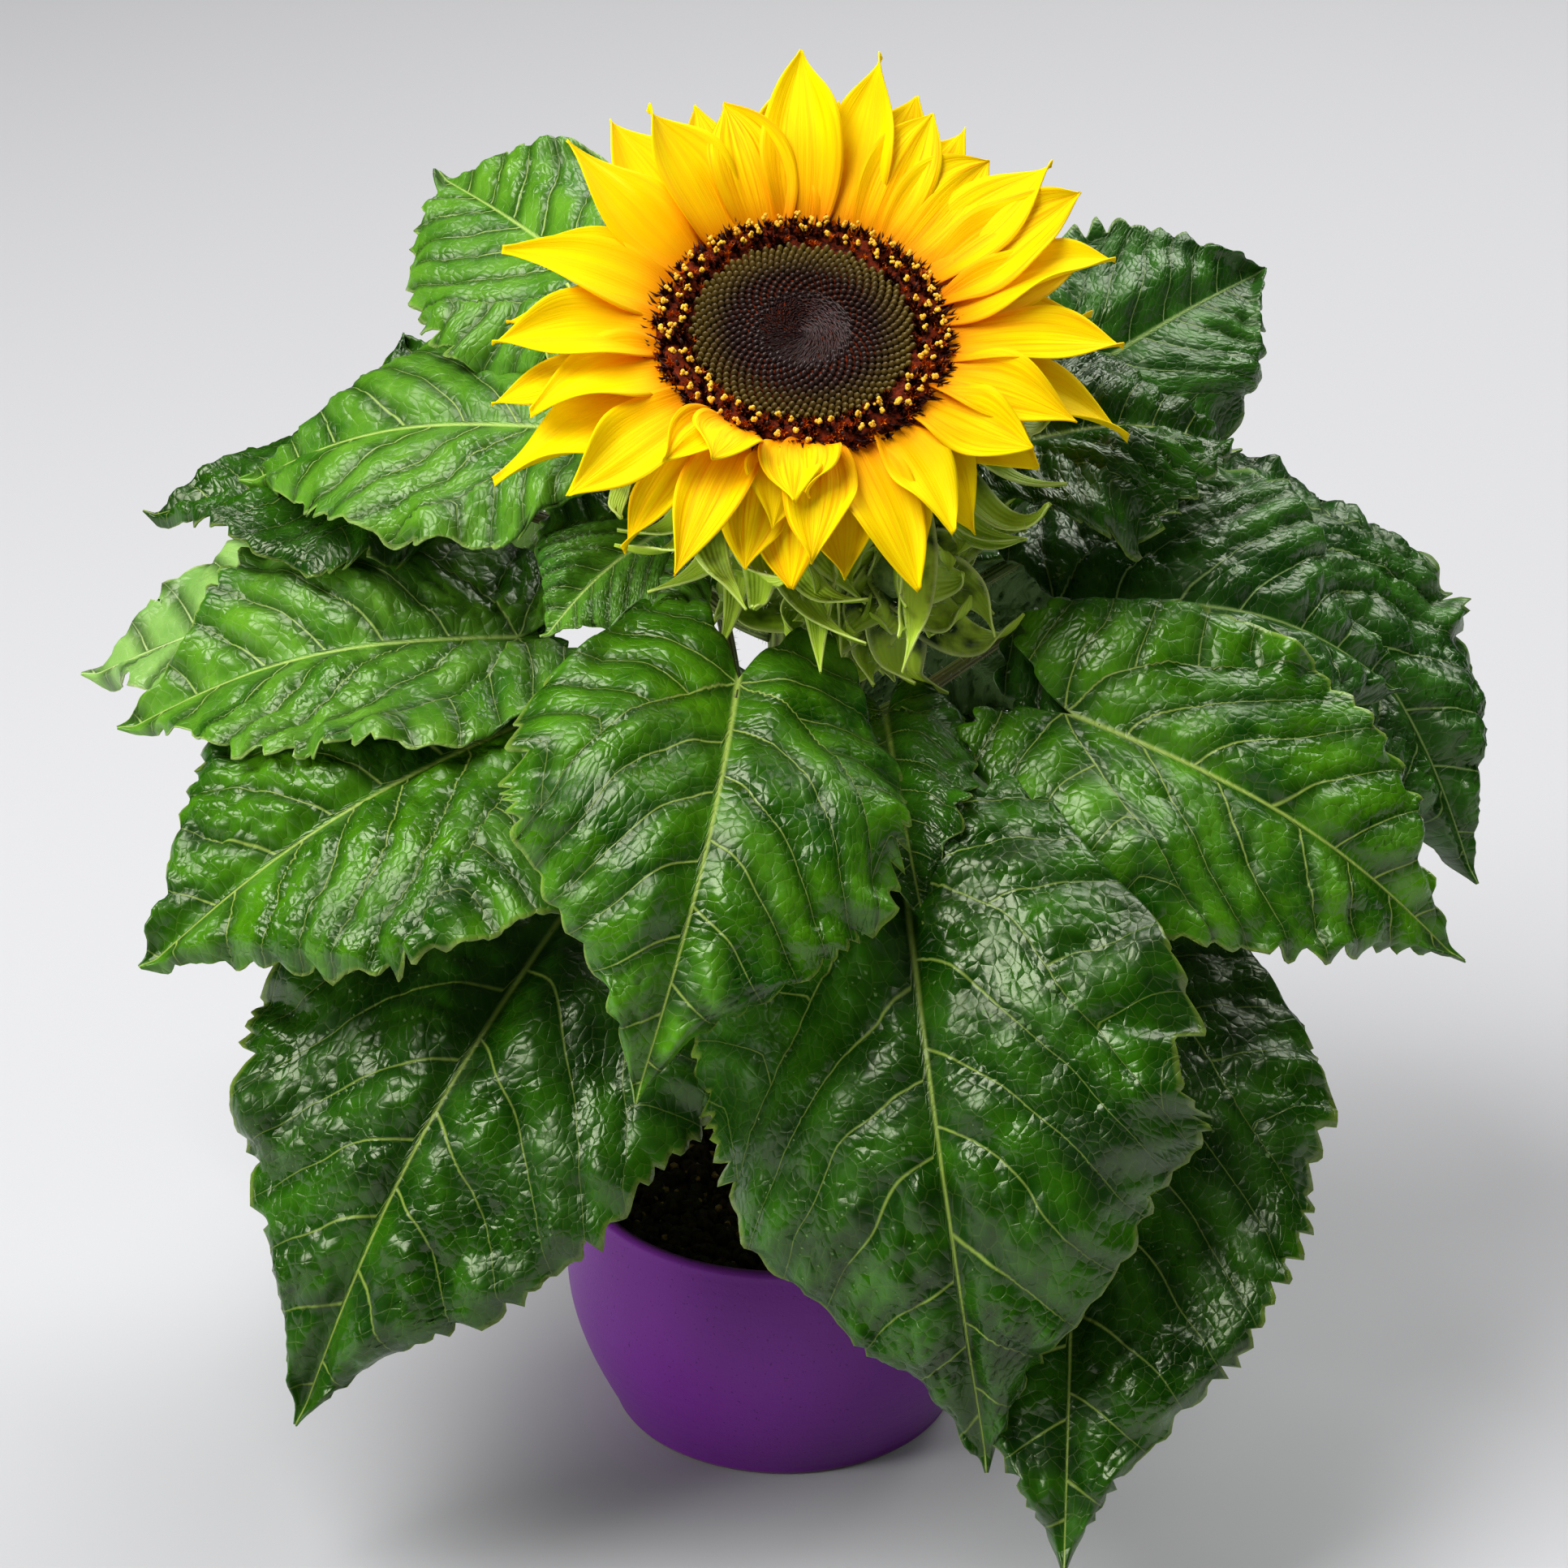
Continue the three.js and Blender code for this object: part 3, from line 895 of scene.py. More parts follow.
@dataclass(frozen=True)
class GlazeFinish:
    """Glazed earthenware: purple glaze fired half matt, with faint throwing rings and specks.

    The half matt glaze gives the eye one broad soft sheen on the side towards the light.
    """

    name: str = "glazed earthenware, half matt purple"
    glaze: str = "66247E"
    thin: str = "742C90"
    speck: str = "3A1450"
    bare: str = "6E5560"
    bare_below_mm: float = 1.6
    cloud_mm: float = 50.0
    speck_scale: float = 1200.0  # to a metre, 0.8 mm each
    ring_turns: float = 1600.0  # radians to a metre of height, one ring to 3.9 mm
    fine_scale: float = 1500.0  # to a metre, 0.7 mm each
    relief_mm: float = 0.3

    def build(self) -> Material:
        """Makes the material.

        Returns:
            The material, which reads no map.
        """
        material, tree, shader = new_material(self.name)
        spot = add_node(tree, "TexCoord").outputs["Object"]
        height = add_node(tree, "SeparateXYZ", {0: spot})
        cloud = add_node(
            tree, "TexNoise", {"Vector": spot, "Scale": 1 / (self.cloud_mm * MM), "Detail": 3.0}
        )
        tone = add_node(
            tree, "Mix", {0: cloud, 6: linear(self.glaze), 7: linear(self.thin)},
            data_type="RGBA",
        )
        specks = add_node(
            tree, "TexNoise", {"Vector": spot, "Scale": self.speck_scale, "Detail": 1.0}
        )
        speck_share = add_node(
            tree, "MapRange",
            {"Value": specks, "From Min": 0.68, "From Max": 0.74, "To Max": 0.7},
        )
        specked = add_node(
            tree, "Mix", {0: speck_share, 6: tone.outputs[2], 7: linear(self.speck)},
            data_type="RGBA",
        )
        foot = add_node(
            tree, "MapRange",
            {"Value": height.outputs[2], "From Min": self.bare_below_mm * MM,
             "From Max": 0.4 * self.bare_below_mm * MM},
        )
        footed = add_node(
            tree, "Mix", {0: foot, 6: specked.outputs[2], 7: linear(self.bare)},
            data_type="RGBA",
        )
        rings = add_node(
            tree, "Math", {0: height.outputs[2], 1: self.ring_turns}, operation="MULTIPLY"
        )
        ring_wave = add_node(tree, "Math", {0: rings}, operation="SINE")
        fine = add_node(tree, "TexNoise", {"Vector": spot, "Scale": self.fine_scale, "Detail": 2.0})
        relief = add_node(tree, "Math", {0: ring_wave, 1: 0.12, 2: fine}, operation="MULTIPLY_ADD")
        bump = add_node(
            tree, "Bump", {"Height": relief, "Strength": 0.25, "Distance": self.relief_mm * MM}
        )
        feed(shader, {
            "Base Color": footed.outputs[2], "Normal": bump, "Roughness": 0.42,
            "Specular IOR Level": 0.25,
        })
        return material


@dataclass(frozen=True)
class DiscFinish:
    """Closed disc buds: olive towards the open florets, dark purple-brown in the middle.

    Their fine grain and low gloss give the eye a small dot of light on each bud.
    """

    name: str = "living disc buds, olive to purple-brown"
    heart: str = "1E1010"
    middle: str = "2E1C16"
    rim: str = "66531A"
    grain_scale: float = 900.0  # to a metre, 1.1 mm each

    def build(self) -> Material:
        """Makes the material.

        Returns:
            The material, which reads how far out a bud stands from the map "own".
        """
        material, tree, shader = new_material(self.name)
        own = read_map(tree, "own")
        ramp = add_node(tree, "ValToRGB", {"Fac": own[0]})
        ramp.color_ramp.elements[0].position = 0.08
        ramp.color_ramp.elements[0].color = linear(self.heart)
        ramp.color_ramp.elements[1].position = 0.96
        ramp.color_ramp.elements[1].color = linear(self.rim)
        middle = ramp.color_ramp.elements.new(0.66)
        middle.color = linear(self.middle)
        spot = add_node(tree, "TexCoord").outputs["Object"]
        grain = add_node(
            tree, "TexNoise", {"Vector": spot, "Scale": self.grain_scale, "Detail": 2.0}
        )
        tint = add_node(
            tree, "MapRange",
            {"Value": grain, "From Min": 0.3, "From Max": 0.7, "To Min": 0.6, "To Max": 1.3},
        )
        toned = add_node(tree, "VectorMath", {0: ramp.outputs[0], "Scale": tint}, operation="SCALE")
        feed(shader, {"Base Color": toned, "Roughness": 0.42})
        return material


class LeafTone(Enum):
    """How a leaf looks: dark, partly as painted shade, full green, young and light, or thin and
    pale.
    """

    # painted shade in part: these darker greens also stand in for the shade on leaves low down, at
    # the back and under the flower
    DARK = LeafFinish(
        "living leaf, dark green, partly painted shade", "0C2C02", "2A5E04", "88A03E", "5C7C44", 0.29,
    )
    FULL = LeafFinish(
        "living leaf, full green", "164802", "4A8606", "9CB64C", "749060", 0.3,
    )
    LIGHT = LeafFinish(
        "living leaf, young light green", "30680C", "609820", "AAC860", "8CAA70", 0.34,
    )
    PALE = LeafFinish(
        "living leaf, thin and pale", "6C9C44", "8DB85A", "C4DA8C", "A9C48A", 0.4,
    )
    GREY = LeafFinish(
        "living leaf, dull deep green", "123C08", "326616", "86A454", "7C9468", 0.31,
    )


class LeafMesh(Enum):
    """Rows and columns of a blade's mesh: many where it shows in front, fewer behind."""

    FINE = (108, 69)
    PLAIN = (72, 43)


# The leaves

@dataclass(frozen=True)
class Leaf:
    """One leaf: its stalk, and a toothed heart-shaped blade quilted between its veins.

    Attributes:
        name: of its node, without "leaf_".
        knee: plan angle, reach and height of the place where the stalk meets the blade.
        tip: plan angle, reach and height of the point.
        width: of the blade.
        foot: height of the stalk on the stem.
        roll: degrees that the blade leans about its midrib.
        bow: rise of the midrib, as a share of its length.
        drape: how far the halves hang, as a share of their width.
        tone: which finish it takes.
        pucker: how strongly the blade bulges between its veins.
        sway: how far the midrib bends to the blade's own left.
        ruffle: how far the margin waves.
        twist: degrees that the point is turned about the midrib.
        mesh: how fine its mesh is.
    """

    name: str
    knee: Triple
    tip: Triple
    width: float
    foot: float
    roll: float
    bow: float
    drape: float
    tone: LeafTone
    pucker: float = 1.0
    sway: float = 0.0
    ruffle: float = 4.6
    twist: float = 0.0
    mesh: LeafMesh = LeafMesh.FINE

    def seed(self) -> int:
        """A number of its own for each leaf."""
        return int(self.knee[0] * 7 + self.width * 3 + self.foot) % 1000

    def axes(self) -> tuple[Array, Array, Array, Array, float]:
        """Where the blade lies.

        Returns:
            The knee, the directions along, out of and across the blade, and its length.
        """
        start = polar(self.knee)
        along = polar(self.tip) - start
        length = float(np.linalg.norm(along))
        along = along / length
        out = turned(unit(UP - along * np.dot(UP, along)), along, self.roll)
        return start, along, out, np.cross(along, out), length


@dataclass
class LeafBuilder:
    """Turns the leaves' sizes into blades and stalks.

    Attributes:
        lobe: how far the lobes reach back past the knee, as a share of the length.
        tooth_mm: distance between the teeth of the margin.
        tooth_depth: depth of a tooth in millimetres.
        vein_step: distance between side veins, as a share of the length.
        rung_mm: distance between the small veins that join the side veins.
        thickness: of the blade.
        basal_angle: degrees between the midrib and the lobes' own main vein.
        channel: depth of the fold along the midrib.
        crown: rise of the blade between two side veins.
        fold: height of the folds from vein to vein.
        arc: height of the narrow puckers, which come in patches.
        swell: height of the wide waves, 32 mm apart.
        dent: height of the small waves, 12 mm apart.
    """

    lobe: float = 0.16
    tooth_mm: float = 9.0
    tooth_depth: float = 4.6
    vein_step: float = 0.155
    rung_mm: float = 3.8
    thickness: float = 0.5
    basal_angle: float = 50.0
    channel: float = 3.0
    crown: float = 2.3
    fold: float = 1.2
    arc: float = 1.8
    swell: float = 5.2
    dent: float = 1.6

    def flat(self, leaf: Leaf, length: float) -> Maps:
        """The blade laid flat: where each mesh point is, with the teeth cut.

        Args:
            leaf: the leaf.
            length: of its blade.

        Returns:
            Arrays of u, v, share, half width, and x and y in millimetres.
        """
        rows, columns = leaf.mesh.value
        u, v = np.meshgrid(
            np.linspace(0, 1, rows) ** 1.08, np.linspace(-1, 1, columns), indexing="ij"
        )
        share = u * 0.99
        corner = 1 - 0.16 * np.clip(1 - share / 0.13, 0, 1) ** 2
        half = leaf.width / 2 * (1 - share ** 1.8) ** 1.3 * (0.9 + share) * corner
        drawn_out = 1 - 0.3 * smooth_step(0.62, 0.9, share)
        uneven = lattice_noise(share * length / 19, np.sign(v) * 3.5 + 0 * u, leaf.seed() + 7)
        half = half * drawn_out * (1 + 0.09 * uneven * smooth_step(0.04, 0.3, share))
        pull = np.sin(np.pi * np.abs(v)) ** 0.8 * (1 - share) ** 3 * self.lobe * length
        x = length * share - pull
        y = v * half
        teeth = self.teeth(x, y, v, leaf.seed())
        half = half * (1 + teeth["across"] / np.maximum(half, 6))
        x = x + teeth["along"]
        notch = 0.2 * np.clip(1 - share / 0.04, 0, 1) * teeth["back"]
        x = x - notch * (pull * (1 + notch))
        return {"u": u, "v": v, "share": share, "half": half, "x": x, "y": v * half}

    def teeth(self, x: Array, y: Array, v: Array, seed: int) -> Maps:
        """Rounded teeth along the margin, which point to the tip.

        Args:
            x: flat place along the blade.
            y: flat place across it.
            v: share of the way across, from -1 to 1.
            seed: the leaf's own number.

        Returns:
            Shifts across and along, and a wave for the lobes' back edge.
        """
        across = np.zeros_like(x)
        along = np.zeros_like(x)
        for column, side in ((0, -1), (-1, 1)):
            step = np.hypot(np.diff(x[:, column]), np.diff(y[:, column]))
            walked = np.concatenate([[0], np.cumsum(step)])
            uneven = lattice_noise(walked / 17, walked * 0 + side, seed)
            phase = walked / self.tooth_mm + 1.1 * uneven
            saw = phase - np.floor(phase)
            rise = np.where(saw < 0.74, np.sin(np.pi / 2 * saw / 0.74), (1 - saw) / 0.26)
            deeper = lattice_noise(walked / 11, walked * 0, seed + 1)
            depth = self.tooth_depth * (0.75 + 0.7 * deeper)
            fade = smooth_step(0, 30, walked[-1] - walked)
            edge = (depth * (rise - 0.6) * (0.2 + 0.8 * fade))[:, None]
            reach = np.clip((v * side - 0.84) / 0.16, 0, 1) ** 1.4
            across += edge * reach
            along += 0.5 * edge * reach * fade[:, None]
        return {"across": across, "along": along, "back": np.abs(np.sin(v * 14))}

    def veins(self, flat: Maps, leaf: Leaf, length: float) -> Maps:
        """Where each mesh point lies between the veins.

        Args:
            flat: the blade laid flat.
            leaf: the leaf.
            length: of its blade.

        Returns:
            Vein and rung numbers for the blade proper and for the lobes: a whole number is on
            a vein.
        """
        half_width = leaf.width / 2
        x = flat["x"] + 5.0 * lattice_noise(flat["x"] / 36, flat["y"] / 36, leaf.seed() + 2)
        x = x + 1.8 * lattice_noise(flat["x"] / 13, flat["y"] / 13, leaf.seed() + 10)
        a = np.abs(flat["y"])
        lag = np.where(flat["y"] > 0, 0.0, 0.35) * smooth_step(0.03, 0.2, flat["share"])
        blade_vein = (x - 0.5 * a - 0.85 * a * a / half_width) / (self.vein_step * length) + lag
        turn = math.radians(self.basal_angle)
        s = x * math.cos(turn) + a * math.sin(turn)
        d = np.abs(a * math.cos(turn) - x * math.sin(turn))
        lobe_vein = (s - 0.45 * d - 0.8 * d * d / half_width) / (0.8 * self.vein_step * length)
        return {
            "blade": blade_vein,
            "lobe": lobe_vein,
            "blade_rung": (a + 0.8 * x) / self.rung_mm,
            "lobe_rung": (d + 0.7 * s) / self.rung_mm,
        }

    def relief(self, flat: Maps, veins: Maps, leaf: Leaf) -> Array:
        """Quilting between the veins, folds, waves of the margin and the channel of the midrib.

        Args:
            flat: the blade laid flat.
            veins: where each mesh point lies between the veins.
            leaf: the leaf.

        Returns:
            How far each mesh point stands out of the plain blade, in millimetres.
        """
        seed = leaf.seed()
        x, y = flat["x"], flat["y"]
        edge = np.abs(flat["v"])
        in_blade = veins["blade"] > 0
        number = np.where(in_blade, veins["blade"], veins["lobe"])
        rung = np.where(in_blade, veins["blade_rung"], veins["lobe_rung"])
        wave = np.abs(number - np.round(number)) * 2
        off_midrib = smooth_step(0.3, 6, np.abs(y))
        inside = 1 - smooth_step(0.8, 1.0, edge)
        arched = (np.sqrt(wave ** 2 + 0.02) - 0.14) / 0.87
        fuller = 0.7 + 0.5 * lattice_noise(x / 13, y / 13, seed + 6)
        pillows = self.crown * arched * (2 - arched) * fuller
        folds = self.fold * cushions(number * 2.1, rung * 0.3, seed + 3)
        puckered = smooth_step(-0.5, 0.2, lattice_noise(x / 34, y / 34, seed + 11))
        arcs = self.arc * cushions(number * 3.8, rung * 0.22, seed + 12) * puckered
        height = leaf.pucker * off_midrib * (pillows + folds + arcs) * (0.5 + 0.5 * inside)
        swell = lattice_noise(x / 32, y / 32, seed + 4)
        height += self.swell * swell * smooth_step(2, 24, np.abs(y))
        dent = lattice_noise(x / 12, y / 12, seed + 13)
        height += self.dent * dent * smooth_step(2, 12, np.abs(y))
        height += self.channel * (smooth_step(0, 12, np.abs(y)) - 1)
        side = np.sign(y) * 4.5
        waves = lattice_noise(x / 15, side + 0.1 * edge, seed + 8)
        waves += 0.6 * lattice_noise(x / 7, side + 0.1 * edge, seed + 9)
        height += leaf.ruffle * 1.5 * waves * smooth_step(0.45, 1.0, edge) ** 1.6
        curl = smooth_step(0.88, 1.0, edge)
        return height - 3.0 * curl * (0.5 + lattice_noise(x / 19, side, seed + 5))

    def blade(self, leaf: Leaf) -> Shape:
        """The leaf's blade as a thin closed body.

        Args:
            leaf: the leaf.

        Returns:
            The body, with the maps that the leaf finish reads.
        """
        start, along, out, side, length = leaf.axes()
        flat = self.flat(leaf, length)
        veins = self.veins(flat, leaf, length)
        share = flat["share"][..., None]
        slope = leaf.bow * np.pi * np.cos(np.pi * share)
        forward = units(along + slope * out)
        above = units(out - slope * along)
        sway = leaf.sway * np.sin(np.pi * share)
        extra = flat["x"] - length * flat["share"]
        hang = -flat["half"] * leaf.drape * flat["v"] ** 2
        rise = self.relief(flat, veins, leaf) * smooth_step(0.0, 0.05, 1 - flat["share"])
        turn = np.radians(leaf.twist) * share ** 1.5
        across = side * np.cos(turn) + above * np.sin(turn)
        above = above * np.cos(turn) - side * np.sin(turn)
        points = (
            start + along * (length * share)
            + out * (leaf.bow * length * np.sin(np.pi * share))
            + forward * extra[..., None]
            + across * (flat["y"][..., None] + sway)
            + above * (hang + rise)[..., None]
        )
        rib = 1.5 * np.exp(-(flat["y"] / 1.3) ** 2) * (1 - flat["share"]) ** 0.7
        on_vein = 1 - 2 * np.abs(veins["blade"] - np.round(veins["blade"]))
        cord = 0.35 * np.clip(on_vein, 0, 1) ** 8 * (veins["blade"] > -0.5)
        maps = {
            "veins": np.stack([veins["blade"], flat["y"] / 10], axis=-1),
            "lobes": np.stack([veins["lobe"], veins["lobe"]], axis=-1),
            "rungs": np.stack([veins["blade_rung"], veins["lobe_rung"]], axis=-1),
            "place": np.stack([flat["u"], np.abs(flat["v"])], axis=-1),
        }
        return blade(points, self.thickness / 2, self.thickness / 2 + rib + cord, maps)

    def stalk_line(self, leaf: Leaf, stem: "Stem") -> Array:
        """The middle of the leaf's stalk, from the stem to under the blade.

        Args:
            leaf: the leaf.
            stem: what it grows on.

        Returns:
            Points along it.
        """
        start, along, out, _, length = leaf.axes()
        outward = polar((leaf.knee[0], 1, 0))
        foot = stem.centre(leaf.foot) + outward * (stem.radius(leaf.foot) - 0.4)

        def midrib(share: float) -> Array:
            """A point of the midrib."""
            rise = leaf.bow * length * math.sin(math.pi * share)
            return start + along * (length * share) + out * (rise - self.channel - 1.8)

        end = midrib(0.07)
        into = unit(midrib(0.14) - end)
        span = float(np.linalg.norm(end - foot))
        return bezier(foot, foot + outward * 0.35 * span, end - into * 0.3 * span, end, 26)


# What the leaves grow on

@dataclass(frozen=True)
class Stem:
    """The main stem, from its flared foot on the soil to the nod under the flower.

    Attributes:
        foot: lowest point of its middle.
        neck: where it starts to nod.
        foot_radius: radius at the foot, without the flare.
        top_radius: radius under the flower.
        flare: extra radius at the foot, and the height that it takes.
        top: height that the taper ends at.
        nod: length of the bend's handles.
    """

    foot: Triple = (0.0, 0.0, 63.6)
    neck: Triple = (1.0, 4.0, 286.0)
    foot_radius: float = 6.5
    top_radius: float = 4.8
    flare: tuple[float, float] = (2.5, 16.0)
    top: float = 324.0
    nod: float = 13.0

    def centre(self, height: float) -> Array:
        """The middle of the straight part at a height."""
        foot, neck = np.array(self.foot), np.array(self.neck)
        return foot + (neck - foot) * (height - foot[2]) / (neck[2] - foot[2])

    def radius(self, height: float) -> float:
        """Tapers the stem, and widens it at its foot.

        Args:
            height: in the plant's frame.

        Returns:
            The stem's radius there.
        """
        share = (height - self.foot[2]) / (self.top - self.foot[2])
        flare = max(0.0, 1 - (height - self.foot[2]) / self.flare[1])
        taper = self.foot_radius + (self.top_radius - self.foot_radius) * share
        return taper + self.flare[0] * flare ** 2

    def line(self, flower: "FlowerPlace") -> Array:
        """The stem's middle, up to the flower's back.

        Args:
            flower: what the stem nods into.

        Returns:
            Points along it.
        """
        straight = [self.centre(z) for z in np.linspace(self.foot[2], self.neck[2], 60)]
        neck = np.array(self.neck)
        top = flower.at(np.array([0.0, 0.0, -flower.depth - CLEAR]))
        bend = bezier(neck, neck + UP * self.nod, top - flower.axis() * self.nod, top, 16)
        return np.concatenate([straight, bend[1:]])


@dataclass(frozen=True)
class FlowerPlace:
    """Where the flower is: its own z looks out of the face, its own y is the face's top.

    Attributes:
        centre: the middle of the face.
        tilt: degrees that the face leans forward.
        turn: degrees that it looks to the side.
        depth: from the face to where the stem meets the back.
        radius: of the green back.
        disc: radius of the dark disc.
    """

    centre: Triple = (5.0, -15.0, 345.0)
    tilt: float = 30.0
    turn: float = 3.0
    depth: float = 24.0
    radius: float = 43.0
    disc: float = 40.0

    def matrix(self) -> Array:
        """Works out how the flower is turned.

        Returns:
            A matrix from the flower's own directions to the plant's.
        """
        around_x = Matrix.Rotation(math.radians(self.tilt), 3, "X")
        around_y = Matrix.Rotation(math.radians(self.turn), 3, "Y")
        return np.array(around_x @ around_y)

    def axis(self) -> Array:
        """The direction that the face looks in."""
        return self.matrix() @ UP

    def at(self, points: Array) -> Array:
        """The flower's own points in the plant's frame."""
        return points @ self.matrix().T + np.array(self.centre)

    def shape(self, shape: Shape) -> Shape:
        """The shape moved from the flower's own frame into the plant's."""
        shape.points = self.at(shape.points)
        return shape


@dataclass
class Greenery:
    """The stem, the leaves and their stalks.

    Attributes:
        leaves: every leaf, the ones that show and the ones behind.
        stem: the main stem.
        flower: where the flower is.
        builder: how a leaf is made.
        stalk_radii: radius of a stalk at the stem, without its collar, and at the blade.
        collar_rise: extra radius of a stalk on the stem.
        hairs_per_mm: hairs on a stem or stalk for each millimetre of its length.
        hair_lengths: shortest and longest hair.
        hair_radius: of a hair's foot.
        bud_place: the side bud's middle.
        bud_foot: height of the side bud's stalk on the stem.
    """

    leaves: Sequence[Leaf]
    stem: Stem = Stem()
    flower: FlowerPlace = FlowerPlace()
    builder: LeafBuilder = field(default_factory=LeafBuilder)
    stalk_radii: tuple[float, float] = (2.5, 1.7)
    collar_rise: float = 1.4
    hairs_per_mm: float = 2.2
    hair_lengths: tuple[float, float] = (1.0, 2.4)
    hair_radius: float = 0.09
    bud_place: Triple = BUD_PLACE
    bud_foot: float = 262.0

    def build(self) -> None:
        """Makes every piece of it."""
        finishes = {tone: tone.value.build() for tone in LeafTone}
        for leaf in self.leaves:
            make_piece(
                f"blade_{leaf.name}", self.builder.blade(leaf), finishes[leaf.tone],
                [f"leaf_{leaf.name}"],
            )
        skin = StalkFinish().build()
        line = self.stem.line(self.flower)
        radii = np.array([self.stem.radius(z) for z in line[:, 2]])
        make_piece("stem_skin", tube(line, radii, 42, ribs=0.03), skin, ["stem"])
        lines = [self.builder.stalk_line(leaf, self.stem) for leaf in self.leaves]
        lines.append(self.bud_stalk())
        widths = [np.linspace(*self.stalk_radii, len(one)) + self.collar(one) for one in lines]
        stalks = [
            tube(one, width, 14, ribs=0.05, seed=n)
            for n, (one, width) in enumerate(zip(lines, widths))
        ]
        make_piece("leaf_stalks", joined(stalks), skin)
        hair = GrainFinish("plant hair, dry and clear", "9AA07A", "D4D8B8", 0.6, 0.02, 0.6).build()
        fuzz = [self.hairs(line, radii, 11)]
        for n, (one, width) in enumerate(zip(lines, widths)):
            fuzz.append(self.hairs(one, width, 20 + n))
        make_piece("stem_hairs", joined(fuzz), hair)

    def bud_stalk(self) -> Array:
        """The middle of the short stalk that holds the side bud.

        Returns:
            Points along it, from the stem.
        """
        foot = self.stem.centre(self.bud_foot)
        end = np.array(self.bud_place)
        return bezier(foot, foot + (end - foot) * [0.6, 0.6, 0.1], end - [0, 0, 8], end, 16)

    def collar(self, line: Array) -> Array:
        """Extra radius where a stalk widens on to the stem."""
        walked = np.linspace(0, 1, len(line))
        return self.collar_rise * np.clip(1 - walked / 0.12, 0, 1) ** 2

    def hairs(self, line: Array, radii: Array, seed: int) -> Shape:
        """Short stiff hairs all over a limb.

        Args:
            line: the limb's middle.
            radii: its radius at each point.
            seed: places the hairs.

        Returns:
            The hairs.
        """
        chance = np.random.default_rng(seed)
        steps = np.linalg.norm(np.diff(line, axis=0), axis=1)
        count = int(steps.sum() * self.hairs_per_mm)
        walked = np.concatenate([[0], np.cumsum(steps)])
        where = chance.uniform(0, walked[-1], count)
        centre = np.stack([np.interp(where, walked, line[:, i]) for i in range(3)], axis=-1)
        direction = np.gradient(line, axis=0)
        step = np.stack([np.interp(where, walked, direction[:, i]) for i in range(3)], axis=-1)
        step = units(step)
        loose = chance.normal(size=(count, 3))
        out = units(loose - step * np.sum(loose * step, axis=1, keepdims=True))
        lean = units(out + step * chance.uniform(-0.4, 0.4, (count, 1)))
        radius = np.interp(where, walked, radii)[:, None] * 0.96  # a little inside the skin
        lengths = chance.uniform(*self.hair_lengths, count)
        return spikes(centre + out * radius, lean, lengths, self.hair_radius)


